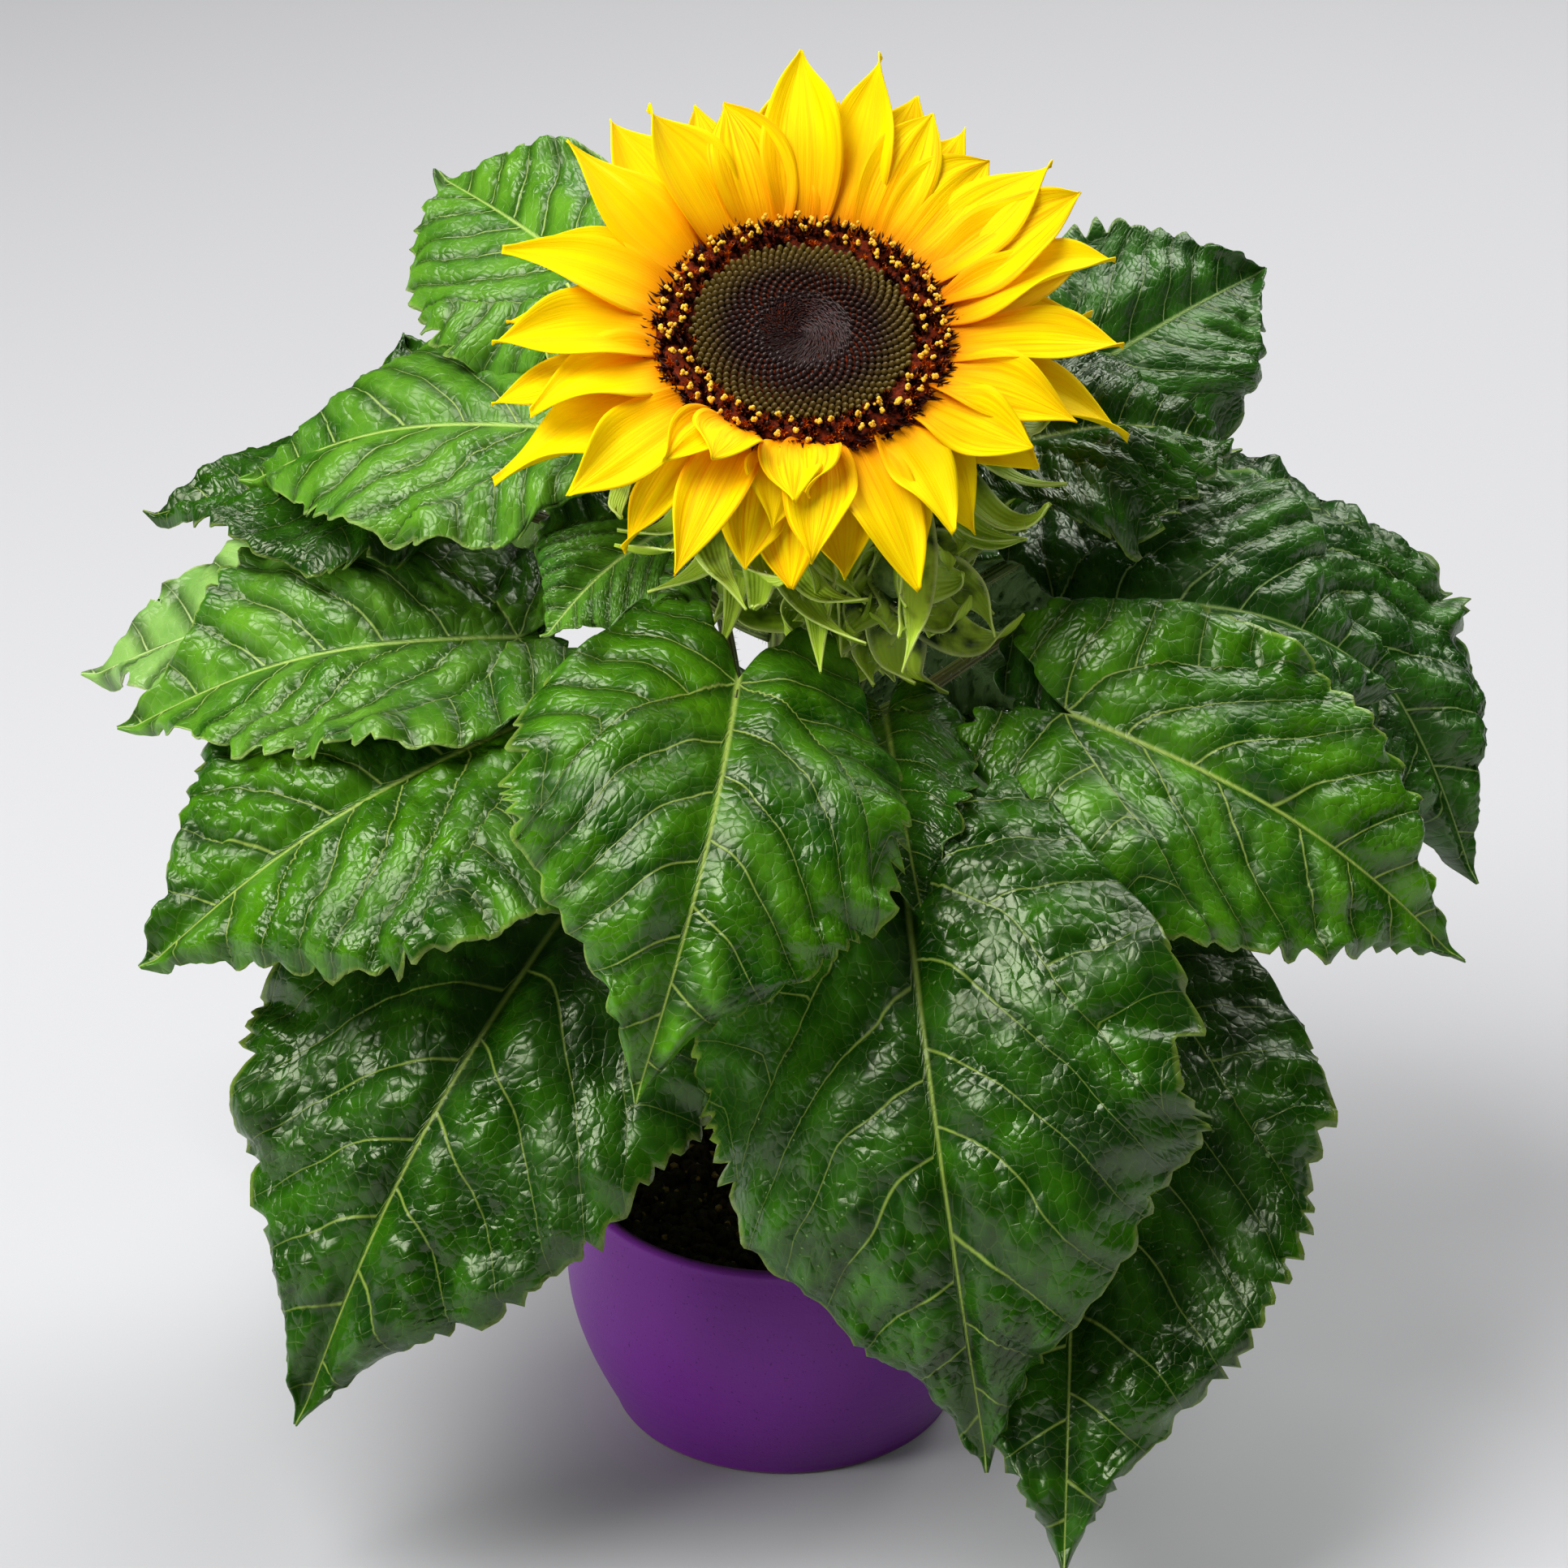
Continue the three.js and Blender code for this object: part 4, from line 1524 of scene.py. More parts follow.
@dataclass
class Flower:
    """The flower head: green back with bracts, petals, and the disc with its florets.

    Attributes:
        place: where it is.
        petals: plan angle and length of each petal, in front and behind by turns.
        folded_petals: plan angle, length and lift of the small petals in front of the rest.
        petal_width: of the widest petals.
        petal_rows: lift in degrees, root height and arch of a front and of a back petal.
        swing: degrees of lift at the top of the face and of droop at its foot.
        bract_rows: count, first angle, length, root radius and root height of each row.
        bract_width: of the bracts of the head, and of the side bud.
        bract_hair_lengths: shortest and longest hair on their margins.
        bract_side: plan angle of the side where the longest bracts hang.
        bract_ceiling: height, at the disc's rim, that the petals keep the bracts under.
        bud_place: the side bud's middle, in the plant's frame.
        bud_way: the direction that the side bud looks in.
        bud_whorls: count, root radius, root height, length and lean of each whorl of its bracts.
        bud_reach: how far from the middle the closed buds go.
        bristle_reach: how far from the middle the fine dark bristles go.
        bud_step: distance between buds.
        bristles: how many there are.
        scale_tips: how many dark tips stand round the disc.
        florets: how many are open.
        red_share: of the florets, the share that is red-orange.
        anther_count: how many dark columns there are.
        dusted_share: of the columns, the share that carries pollen.
        grains_each: grains of pollen on a column.
    """

    place: FlowerPlace = FlowerPlace()
    petals: Sequence[tuple[float, float]] = (
        (-177, 43), (-170, 45), (-162, 36), (-153, 51), (-139, 40), (-128, 36), (-115, 41),
        (-106, 30), (-98, 20), (-92, 32), (-84, 31), (-77, 30), (-69, 40), (-61, 30), (-53, 32),
        (-43, 30), (-34, 31), (-26, 32), (-19, 37), (-10, 51), (-3, 46), (5, 40), (13, 49),
        (19, 42), (25, 47), (31, 49), (36, 44), (42, 47), (48, 38), (55, 45), (61, 38), (68, 43),
        (75, 44), (83, 38), (90, 46), (97, 42), (105, 36), (113, 41), (123, 38), (132, 44),
        (143, 43), (154, 37), (165, 44), (173, 39),
    )
    folded_petals: Sequence[tuple[float, float, float]] = (
        (-124, 24, 2), (-117, 20, 14), (-95, 22, -6), (-88, 19, 4),
    )
    petal_width: float = 21.5
    petal_rows: Sequence[Triple] = ((5, 4.4, 2.6), (-3, 0.8, 0.6))
    swing: float = 24.0
    bract_rows: Sequence[tuple[int, float, float, float, float]] = (
        (22, 0, 36, 39, -9),
        (22, 9, 42, 34, -13),
        (22, 3, 46, 28, -17),
        (22, 14, 48, 21, -21),
        (20, 6, 46, 14, -25),
        (14, 2, 44, 9, -28),
    )
    bract_width: tuple[float, float] = (14.0, 15.0)
    bract_hair_lengths: tuple[float, float] = (1.2, 2.4)
    bract_side: float = -50.0
    bract_ceiling: float = -8.0
    bud_place: Triple = BUD_PLACE
    bud_way: Triple = (0.3, -0.85, 0.35)
    bud_whorls: Sequence[tuple[int, float, float, float, float]] = (
        (12, 12, -6, 40, 0.0),
        (12, 10, -2, 36, 0.5),
        (10, 7, 2, 28, 1.0),
        (8, 4, 5, 20, 2.0),
    )
    bud_reach: float = 30.0
    bristle_reach: float = 13.0
    bud_step: float = 1.9
    bristles: int = 1500
    scale_tips: int = 240
    florets: int = 560
    red_share: float = 0.42
    anther_count: int = 112
    dusted_share: float = 0.85
    grains_each: int = 6

    def build(self) -> None:
        """Makes every piece of it."""
        self.build_back()
        self.build_bracts()
        self.build_petals()
        self.build_buds()
        self.build_bristles()
        self.build_fringe()
        self.build_florets()

    def build_back(self) -> None:
        """The green back of the head, round and hairy."""
        edge = self.place.radius
        depth = self.place.depth
        profile = [
            (0, -depth - 6), (7, -depth - 6), (10, -depth - 4.5), (14, -depth - 2), (20, 2 - depth),
            (27, 6 - depth), (34, 10 - depth), (0.9 * edge, -10), (0.98 * edge, -7),
            (edge - 1.5, -5.6), (0, -5.6),
        ]
        finish = GrainFinish(
            "living flower head, green and downy", "4C6A26", "7E9A48", 2.5, 0.5, 0.7
        )
        shape = self.place.shape(lathe(profile, 72))
        bud = lathe([(0, -11), (6, -10), (10, -6), (11, 0), (9, 5), (5, 9), (0, 11)], 36)
        bud.points = bud.points @ self.bud_axes().T + np.array(self.bud_place)
        make_piece("head_back", joined([shape, bud]), finish.build(), ["flower_head"])

    def bud_axes(self) -> Array:
        """Works out how the side bud is turned.

        Returns:
            Two directions across it and the one that it looks in, as columns.
        """
        axis = unit(np.array(self.bud_way))
        first = unit(np.cross(axis, [0.2, 0.3, 0.9]))
        return np.stack([first, np.cross(axis, first), axis], axis=-1)

    @staticmethod
    def bract(
        start: Array, outward: Array, down: Array, length: float, width: float,
        fall: float, chance: np.random.Generator,
    ) -> Shape:
        """One bract, broad at its root and drawn out to a curled point, hanging by its weight.

        Args:
            start: the middle of its root.
            outward: the direction that it grows in at first.
            down: the direction of its weight.
            length: from root to point.
            width: at its root.
            fall: degrees that it bends down by.
            chance: draws its own curl and twist.

        Returns:
            The bract.
        """
        side = unit(np.cross(outward, down))
        down = np.cross(side, outward)
        u, v = np.meshgrid(np.linspace(0, 1, 24), np.linspace(-1, 1, 7), indexing="ij")
        hook = math.radians(chance.choice([40, 70, 110, 150]) + chance.uniform(-15, 15))
        dip = math.radians(fall) * smooth_step(-0.3, 0.4, u) - hook * smooth_step(0.5, 1.0, u)
        drift = math.radians(chance.uniform(-70, 70)) * smooth_step(0.1, 1.0, u)
        way = (
            outward * (np.cos(dip) * np.cos(drift))[..., None]
            + down * (np.sin(dip) * np.cos(drift))[..., None] + side * np.sin(drift)[..., None]
        )
        line = start + np.cumsum(way, axis=0) * length / 24
        lean = chance.uniform(-0.9, 0.9) * u * 1.6
        over = units(np.cross(side, way))
        across = np.cross(way, over) * np.cos(lean)[..., None] + over * np.sin(lean)[..., None]
        half = width / 2 * (1 - u) ** 1.4 * (1 + 1.9 * u) + 0.25
        cup = 0.3 * half * v * v - 0.5 * np.exp(-(v / 0.15) ** 2)
        points = line + across * (v * half)[..., None] - over * cup[..., None]
        return blade(points, 0.3, 0.3, {"place": np.stack([u, v], axis=-1)})

    def build_bracts(self) -> None:
        """The rows of bracts and the tuft below them, with hairs on their margins."""
        chance = np.random.default_rng(31)
        weight = self.place.matrix().T @ np.array([0.0, 0.0, -1.0])
        bracts = []
        for count, first, length, root, height in self.bract_rows:
            for n in range(count):
                angle = first + 360 * n / count + chance.uniform(-5, 5)
                front = max(0.0, math.cos(math.radians(angle - self.bract_side)))
                reach = length * chance.uniform(0.8, 1.15) * (1 + 0.45 * front)
                fall = chance.uniform(20, 100) * (0.45 + 0.55 * front)
                start = polar((angle, root, height))
                outward = polar((angle, 1, 0))
                bracts.append(
                    self.bract(start, outward, weight, reach, self.bract_width[0], fall, chance)
                )
        for bract in bracts:
            self.press_under_petals(bract)
        bracts += self.side_bud(chance)
        whole = joined(bracts)
        rim = np.abs(np.abs(whole.maps["place"][:, 1]) - 1) < 1e-3
        along = whole.maps["place"][:, 0]
        feet = whole.points[rim & (along > 0.1) & (along < 0.85)]
        feet = feet + chance.normal(scale=0.35, size=feet.shape)
        ways = units(chance.normal(size=feet.shape))
        fuzz = spikes(feet, ways, chance.uniform(*self.bract_hair_lengths, len(feet)), 0.07)
        make_piece("bracts", self.place.shape(whole), BractFinish().build())
        hair = GrainFinish("bract hair, dry and pale", "A3AA80", "DDE2C4", 0.6, 0.02, 0.6).build()
        make_piece("bract_hairs", self.place.shape(fuzz), hair)

    def press_under_petals(self, bract: Shape) -> None:
        """Presses what stands above the petals' lower side down under it.

        Args:
            bract: in the flower's own frame, changed in place.
        """
        x, y, z = bract.points.T
        reach = np.hypot(x, y)
        droop = np.radians(self.swing * y / reach - 6)
        ceiling = self.bract_ceiling + np.sin(droop) * (reach - self.place.disc)
        bract.points[:, 2] -= 0.94 * np.maximum(z - ceiling, 0)

    def side_bud(self, chance: np.random.Generator) -> list[Shape]:
        """The closed side bud on the stem under the head, in its whorls of curled bracts.

        Args:
            chance: draws the bracts' curls.

        Returns:
            The bracts, in the head's own frame.
        """
        middle = (np.array(self.bud_place) - np.array(self.place.centre)) @ self.place.matrix()
        first, second, axis = (self.place.matrix().T @ self.bud_axes()).T
        bracts = []
        for count, root, height, length, lean in self.bud_whorls:
            for n in range(count):
                turn = 2 * math.pi * (n + chance.uniform(-0.3, 0.3)) / count
                out = first * math.cos(turn) + second * math.sin(turn)
                start = middle + out * root + axis * height
                reach = length * chance.uniform(0.8, 1.2)
                fall = chance.uniform(20, 70)
                outward = unit(out + axis * lean)
                bracts.append(
                    self.bract(start, outward, -axis, reach, self.bract_width[1], fall, chance)
                )
        return bracts

    def petal(
        self, angle: float, length: float, lift: float, seat: float, bow: float,
        chance: np.random.Generator,
    ) -> Shape:
        """One petal: pointed, arched, ridged and a little twisted.

        Args:
            angle: degrees round the face.
            length: from root to point.
            lift: degrees above the face's plane.
            seat: height of the root.
            bow: how far it arches upwards.
            chance: draws its own shape.

        Returns:
            The petal in the flower's own frame.
        """
        outward = polar((angle, 1, 0))
        side = np.cross(outward, UP)
        u, v = np.meshgrid(np.linspace(0, 1, 46), np.linspace(-1, 1, 17), indexing="ij")
        share = u * 0.995
        width = self.petal_width * chance.uniform(0.85, 1.15) * min(1.0, 0.6 + length / 100)
        point = chance.uniform(1.25, 1.8)
        half = width / 1.68 * (0.42 + 1.16 * share ** 0.8) * (1 - share ** 2.6) ** point + 0.15
        rise = math.sin(math.radians(lift)) * length * share
        arch = (bow + chance.uniform(-1, 1.5)) * np.sin(np.pi * share)
        hook = chance.normal() * 3 * share ** 3.5
        sway = chance.normal() * 3.5 * share ** 2
        twist = math.radians(chance.normal() * 22) * share ** 1.3
        cup = chance.uniform(-0.05, 0.45) * half * v * v * (0.5 + share)
        ridges = 0.7 * np.cos(2.2 * np.pi * v + chance.uniform(-1.2, 1.2)) * np.sin(np.pi * share)
        crease = -0.6 * np.exp(-(v / 0.14) ** 2) * np.sin(np.pi * share) ** 0.5
        wave = 1.5 * v * np.abs(v) * np.sin(
            2 * np.pi * share * chance.uniform(0.8, 2.0) + chance.uniform(0, 6)
        )
        across = side * np.cos(twist)[..., None] + UP * np.sin(twist)[..., None]
        over = UP * np.cos(twist)[..., None] - side * np.sin(twist)[..., None]
        flat = self.place.disc - 3 + math.cos(math.radians(lift)) * length * share
        height = -5 + seat + rise + arch + hook
        points = (
            outward * flat[..., None] + across * (v * half + sway)[..., None]
            + UP * height[..., None] + over * (cup + ridges + crease + wave)[..., None]
        )
        own = np.array([chance.uniform(), chance.uniform(0.1, 1.0)])
        maps = {
            "place": np.stack([share, v], axis=-1),
            "own": np.broadcast_to(own, u.shape + (2,)),
        }
        return blade(points, 0.22, 0.22, maps)

    def build_petals(self) -> None:
        """The front and back rows of petals, and the few small ones folded forward."""
        chance = np.random.default_rng(7)
        petals = []
        for n, (angle, length) in enumerate(self.petals):
            lift, seat, bow = self.petal_rows[n % 2]
            height = math.sin(math.radians(angle))
            swing = lift + self.swing * height + chance.uniform(-2.5, 2.5)
            petals.append(self.petal(angle, length + 4, swing, seat, bow, chance))
        for angle, length, lift in self.folded_petals:
            petals.append(self.petal(angle, length, lift, 6.0, 3.0, chance))
        shape = self.place.shape(joined(petals))
        make_piece("petals", shape, PetalFinish().build(), ["ray_petals"])

    def dome(self, reach: Array) -> Array:
        """The disc's surface: a dome with a ridge at the florets and a hollow in the middle.

        Args:
            reach: distances from its middle.

        Returns:
            The height at each.
        """
        ridge = 3 * np.exp(-((reach - 36) / 5) ** 2)
        hollow = -2.2 * np.exp(-(reach / 9) ** 2)
        return 4.2 * (1 - (reach / self.place.disc) ** 2) + ridge + hollow - 1.6

    def on_disc(self, out: Array, reach: Array, lift: float) -> Array:
        """Places on the disc.

        Args:
            out: directions out from its middle.
            reach: distances from its middle.
            lift: height over its surface.

        Returns:
            One point to a direction.
        """
        return out * reach[:, None] + np.outer(self.dome(reach) + lift, UP)

    def build_buds(self) -> None:
        """The closed buds in their spirals, over the disc's own dark floor."""
        reach = np.linspace(self.place.disc - 0.5, 0, 26)
        floor = [(0.0, -5.0), (self.place.disc - 0.5, -5.0)]
        floor += [(float(r), float(self.dome(r))) for r in reach[:-1]]
        floor += [(0.0, float(self.dome(np.array(0.0))))]
        dark = GrainFinish("disc floor, dark red-brown", "1C0804", "7C2808", 1.2, 0.3, 0.8, 0.1)
        base = self.place.shape(lathe(floor, 96))
        make_piece("disc_floor", base, dark.build(), ["flower_disc"])
        whole = int((self.bud_reach / (self.bud_step * 0.56)) ** 2)
        number = np.arange(whole) + 0.5
        number = number[number > whole * (self.bristle_reach / self.bud_reach - 0.05) ** 2]
        count = len(number)
        reach = self.bud_reach * np.sqrt(number / whole)
        turn = number * GOLDEN_ANGLE
        chance = np.random.default_rng(3)
        size = self.bud_step * (0.38 + 0.12 * smooth_step(6, 26, reach))
        tall = 1.6 + 1.0 * smooth_step(4, 28, reach) + chance.uniform(-0.15, 0.15, count)
        out = spokes(turn)
        lean = units(out * (-0.55 + 0.75 * smooth_step(8, 30, reach))[:, None] + UP)
        side = tangents(turn)
        other = np.cross(lean, side)
        turns = np.stack(
            [side * size[:, None], other * size[:, None] * 1.1, lean * tall[:, None]], axis=-1
        )
        own = np.stack([reach / self.bud_reach, chance.uniform(0, 1, count)], axis=-1)
        buds = self.bud().many(turns, self.on_disc(out, reach, -0.5), {"own": own})
        make_piece("disc_buds", self.place.shape(buds), DiscFinish().build())

    @staticmethod
    def bud() -> Shape:
        """One closed bud: six sides that close over a low point.

        Returns:
            The bud, one unit wide and tall.
        """
        ring = np.radians(np.arange(6) * 60)
        levels = [(1.0, 0.0), (1.0, 0.45), (0.8, 0.8), (0.35, 1.0)]
        points = [[r * math.cos(t), r * math.sin(t), z] for r, z in levels for t in ring]
        points.append([0, 0, 1.06])
        quads = [
            [6 * k + i, 6 * k + (i + 1) % 6, 6 * k + 6 + (i + 1) % 6, 6 * k + 6 + i]
            for k in range(3) for i in range(6)
        ]
        tris = [[24, 18 + i, 18 + (i + 1) % 6] for i in range(6)]
        tris += [[0, i + 1, i] for i in range(1, 5)]
        return Shape(np.array(points), np.array(quads), np.array(tris))

    def build_bristles(self) -> None:
        """Fine dark bristles in the middle, combed round in spirals."""
        chance = np.random.default_rng(5)
        count = self.bristles
        reach = (self.bristle_reach + 1) * np.sqrt((np.arange(count) + 0.5) / count)
        turn = np.arange(count) * GOLDEN_ANGLE
        out = spokes(turn)
        combed = 0.7 * tangents(turn) - 0.75 * out + 0.75 * UP
        lean = units(combed + chance.normal(scale=0.16, size=(count, 3)))
        feet = self.on_disc(out, reach, -0.2)
        shape = spikes(feet, lean, chance.uniform(2.0, 3.2, count), 0.28)
        brown = GrainFinish("living bristles, dark brown", "160808", "4A302C", 0.9, 0.05, 0.5)
        make_piece("disc_bristles", self.place.shape(shape), brown.build())

    def build_fringe(self) -> None:
        """Dark pointed tips all round the disc, over the petals' roots."""
        chance = np.random.default_rng(9)
        count = self.scale_tips
        turn = np.radians(np.arange(count) * 360 / count + chance.uniform(-1, 1, count))
        out = spokes(turn)
        reach = chance.uniform(37.5, 40.5, count)
        lean = out * chance.uniform(0.5, 1.5, (count, 1)) + UP
        lean = units(lean + chance.normal(scale=0.25, size=(count, 3)))
        feet = self.on_disc(out, reach, -0.5)
        shape = spikes(feet, lean, chance.uniform(3.2, 5.4, count), 0.75)
        dark = GrainFinish("living scale tips, near black", "100404", "44120A", 1.2, 0.1, 0.6, 0.2)
        make_piece("disc_fringe", self.place.shape(shape), dark.build())

    @staticmethod
    def floret() -> Shape:
        """One open floret: a short tube with five pointed lobes that turn outwards.

        Returns:
            The floret, in millimetres at full size.
        """
        turn = np.radians(np.arange(10) * 36)
        on_lobe = np.arange(10) % 2 == 0
        levels = ((0.55, 0, 0), (0.6, 1.6, 0), (0.95, 2.6, 0.1), (1.2, 3.3, 0.55))
        rings = []
        for radius, height, point in levels:
            spread = radius * (1 + point * np.where(on_lobe, 1.0, -0.7))
            top = height + point * np.where(on_lobe, 0.9, -0.9)
            rings.append(np.stack([spread * np.cos(turn), spread * np.sin(turn), top], axis=-1))
        number = np.arange(40).reshape(4, 10)
        next_one = np.roll(number, -1, axis=1)
        quads = np.stack([number[:-1], next_one[:-1], next_one[1:], number[1:]], axis=-1)
        floor = np.array([[40, next_one[1, i], number[1, i]] for i in range(10)])[:, ::-1]
        points = np.concatenate(rings + [np.array([[0, 0, 1.5]])])
        return Shape(points, quads.reshape(-1, 4), floor)

    def build_florets(self) -> None:
        """The ring of open florets, with their dark columns and yellow pollen tips."""
        chance = np.random.default_rng(17)
        count = self.florets
        number = np.arange(count)
        reach = np.sqrt(chance.uniform(self.bud_reach ** 2, self.place.disc ** 2, count))
        turn = number * GOLDEN_ANGLE + chance.uniform(-0.05, 0.05, count)
        out = spokes(turn)
        outer = smooth_step(32, 40, reach)
        lean = out * (outer * 0.8 + chance.uniform(-0.15, 0.2, count))[:, None] + UP
        lean = units(lean + chance.normal(scale=0.12, size=(count, 3)))
        side, other = beside(lean, out)
        size = chance.uniform(0.6, 0.9, count)
        turns = np.stack([side, other, lean], axis=-1) * size[:, None, None]
        places = self.on_disc(out, reach, -0.6)
        red = chance.uniform(size=count) < self.red_share
        maroon = GrainFinish("living floret, dark maroon", "100403", "3C0E06", 1.0, 0.15, 0.6, 0.15)
        tubes = self.floret().many(turns[~red], places[~red], {})
        make_piece("open_florets", self.place.shape(tubes), maroon.build())
        orange = GrainFinish("living floret, red-orange", "96260A", "F07C10", 1.6, 0.15, 0.6, 0.15)
        tubes = self.floret().many(turns[red] * 0.85, places[red], {})
        make_piece("red_florets", self.place.shape(tubes), orange.build())
        self.build_pollen(chance)

    def build_pollen(self, chance: np.random.Generator) -> None:
        """Dark anther columns in two uneven rings, most with yellow pollen on top.

        Args:
            chance: draws their places and which ones carry pollen.
        """
        count = self.anther_count
        number = np.arange(count)
        turn = 2 * math.pi * (number + chance.uniform(-0.5, 0.5, count)) / count
        reach = 33.4 + 3.6 * (number % 2) + chance.uniform(-1.2, 1.2, count)
        out = spokes(turn)
        feet = self.on_disc(out, reach, 1.4)
        ways = out * (reach[:, None] - 32) / 14 + chance.normal(scale=0.15, size=(count, 3))
        ways = units(ways + UP)
        tall = chance.uniform(1.2, 2.6, count)
        column = tube(np.outer([0, 0.5, 1.0], UP), np.array([0.5, 0.46, 0.3]), 7)
        side, other = beside(ways, [0.3, 0.9, 0.2])
        turns = np.stack([side, other, ways * tall[:, None]], axis=-1)
        dark = GrainFinish("living anther, dark brown", "140606", "3A140C", 0.8, 0.1, 0.5).build()
        make_piece("anthers", self.place.shape(column.many(turns, feet, {})), dark)
        dusted = chance.uniform(size=count) < self.dusted_share
        tops = (feet + ways * tall[:, None])[dusted]
        grains = []
        for top, way in zip(tops, ways[dusted]):
            for _ in range(self.grains_each):
                aside = chance.normal(scale=0.36, size=3)
                grains.append(top + aside + way * chance.uniform(-0.6, 0.6))
        grains = np.array(grains)
        scale = chance.uniform(0.42, 0.7, len(grains))
        turns = np.eye(3)[None] * scale[:, None, None]
        yellow = GrainFinish("pollen, golden yellow", "F09A00", "FFE04A", 0.5, 0.1, 0.8).build()
        make_piece("pollen", self.place.shape(grain().many(turns, grains, {})), yellow)


@dataclass
class PotAndSoil:
    """The round pot with its soil.

    Attributes:
        height: of the pot.
        base: radius of the underside.
        belly: radius and height of the widest place.
        rim: radius of the rim.
        wall: thickness of the side.
        floor: thickness of the bottom.
        soil_top: height of the soil.
        foot: radius of the rounding under the side.
        crumb_count: crumbs of soil.
        crumb_sizes: smallest and largest crumb.
        husk_count: bits of bark and husk.
        husk_sizes: smallest and largest bit.
    """

    height: float = 76.0
    base: float = 51.0
    belly: tuple[float, float] = (65.5, 46.0)
    rim: float = 61.0
    wall: float = 4.0
    floor: float = 6.0
    soil_top: float = 63.0
    foot: float = 2.5
    crumb_count: int = 1500
    crumb_sizes: tuple[float, float] = (0.6, 2.2)
    husk_count: int = 420
    husk_sizes: tuple[float, float] = (0.5, 1.5)

    def radius(self, z: float) -> float:
        """The pot's side: it bulges out to the belly and draws in to the rim.

        Args:
            z: the height.

        Returns:
            The outer radius there.
        """
        wide, at = self.belly
        if z < at:
            return self.base + (wide - self.base) * math.sin(math.pi / 2 * z / at)
        above = (z - at) / (self.height - at)
        return wide - (wide - self.rim) * above ** 2

    def build(self) -> None:
        """Makes the pot, and the crumbs of soil in it."""
        lip = self.wall / 2
        foot = self.foot
        outer = [(self.radius(z), float(z)) for z in np.linspace(foot, self.height - lip, 40)]
        inner = [(r - self.wall, z) for r, z in reversed(outer) if z > self.floor + 2]
        turn = np.linspace(0, math.pi, 14)[1:-1]
        middle = self.radius(self.height - lip) - lip
        crown = [(middle + lip * math.cos(t), self.height - lip + lip * math.sin(t)) for t in turn]
        start = self.radius(foot)
        bottom = [
            (start - foot * (1 - math.sin(t)) * 0.8, foot * (1 - math.cos(t)))
            for t in np.linspace(0, math.pi / 2, 7)[:-1]
        ]
        profile = [(0, 0)] + bottom + outer + crown + inner
        profile += [(self.radius(self.floor) - self.wall - 2, self.floor), (0, self.floor)]
        make_piece("glazed_pot", lathe(profile, 160), GlazeFinish().build(), ["pot"])
        earth = GrainFinish(
            "potting soil, moist and crumbly", "0E0906", "3A2616", 2.2, 1.2, 0.95
        ).build()
        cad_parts["soil"].data.materials.clear()
        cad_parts["soil"].data.materials.append(earth)
        self.build_crumbs("soil_crumbs", self.crumb_count, self.crumb_sizes, earth, 41)
        bits = GrainFinish("bark and husk bits, dry", "6A4A2A", "B08A58", 1.0, 0.3, 0.9).build()
        self.build_crumbs("husk_bits", self.husk_count, self.husk_sizes, bits, 43)

    def build_crumbs(
        self, name: str, count: int, sizes: tuple[float, float],
        material: Material, seed: int,
    ) -> None:
        """Uneven crumbs strewn over the soil.

        Args:
            name: of the piece.
            count: how many.
            sizes: smallest and largest.
            material: their finish.
            seed: strews them.
        """
        chance = np.random.default_rng(seed)
        widest = self.radius(self.soil_top) - self.wall - 2.5
        reach = widest * np.sqrt(chance.uniform(0, 1, count))
        turn = chance.uniform(0, 2 * math.pi, count)
        size = chance.uniform(sizes[0], sizes[1], count) ** 1.4
        axes = np.linalg.qr(chance.normal(size=(count, 3, 3)))[0]
        widths = size[:, None] * chance.uniform(0.6, 1.3, (count, 3))
        turns = axes * widths[:, None, :]
        x, y = reach * np.cos(turn), reach * np.sin(turn)
        z = self.soil_top + 0.3 * size + 1.2 * np.abs(lattice_noise(x / 9, y / 9, seed))
        places = np.stack([x, y, z], axis=-1)
        make_piece(name, grain().many(turns, places, {}), material)


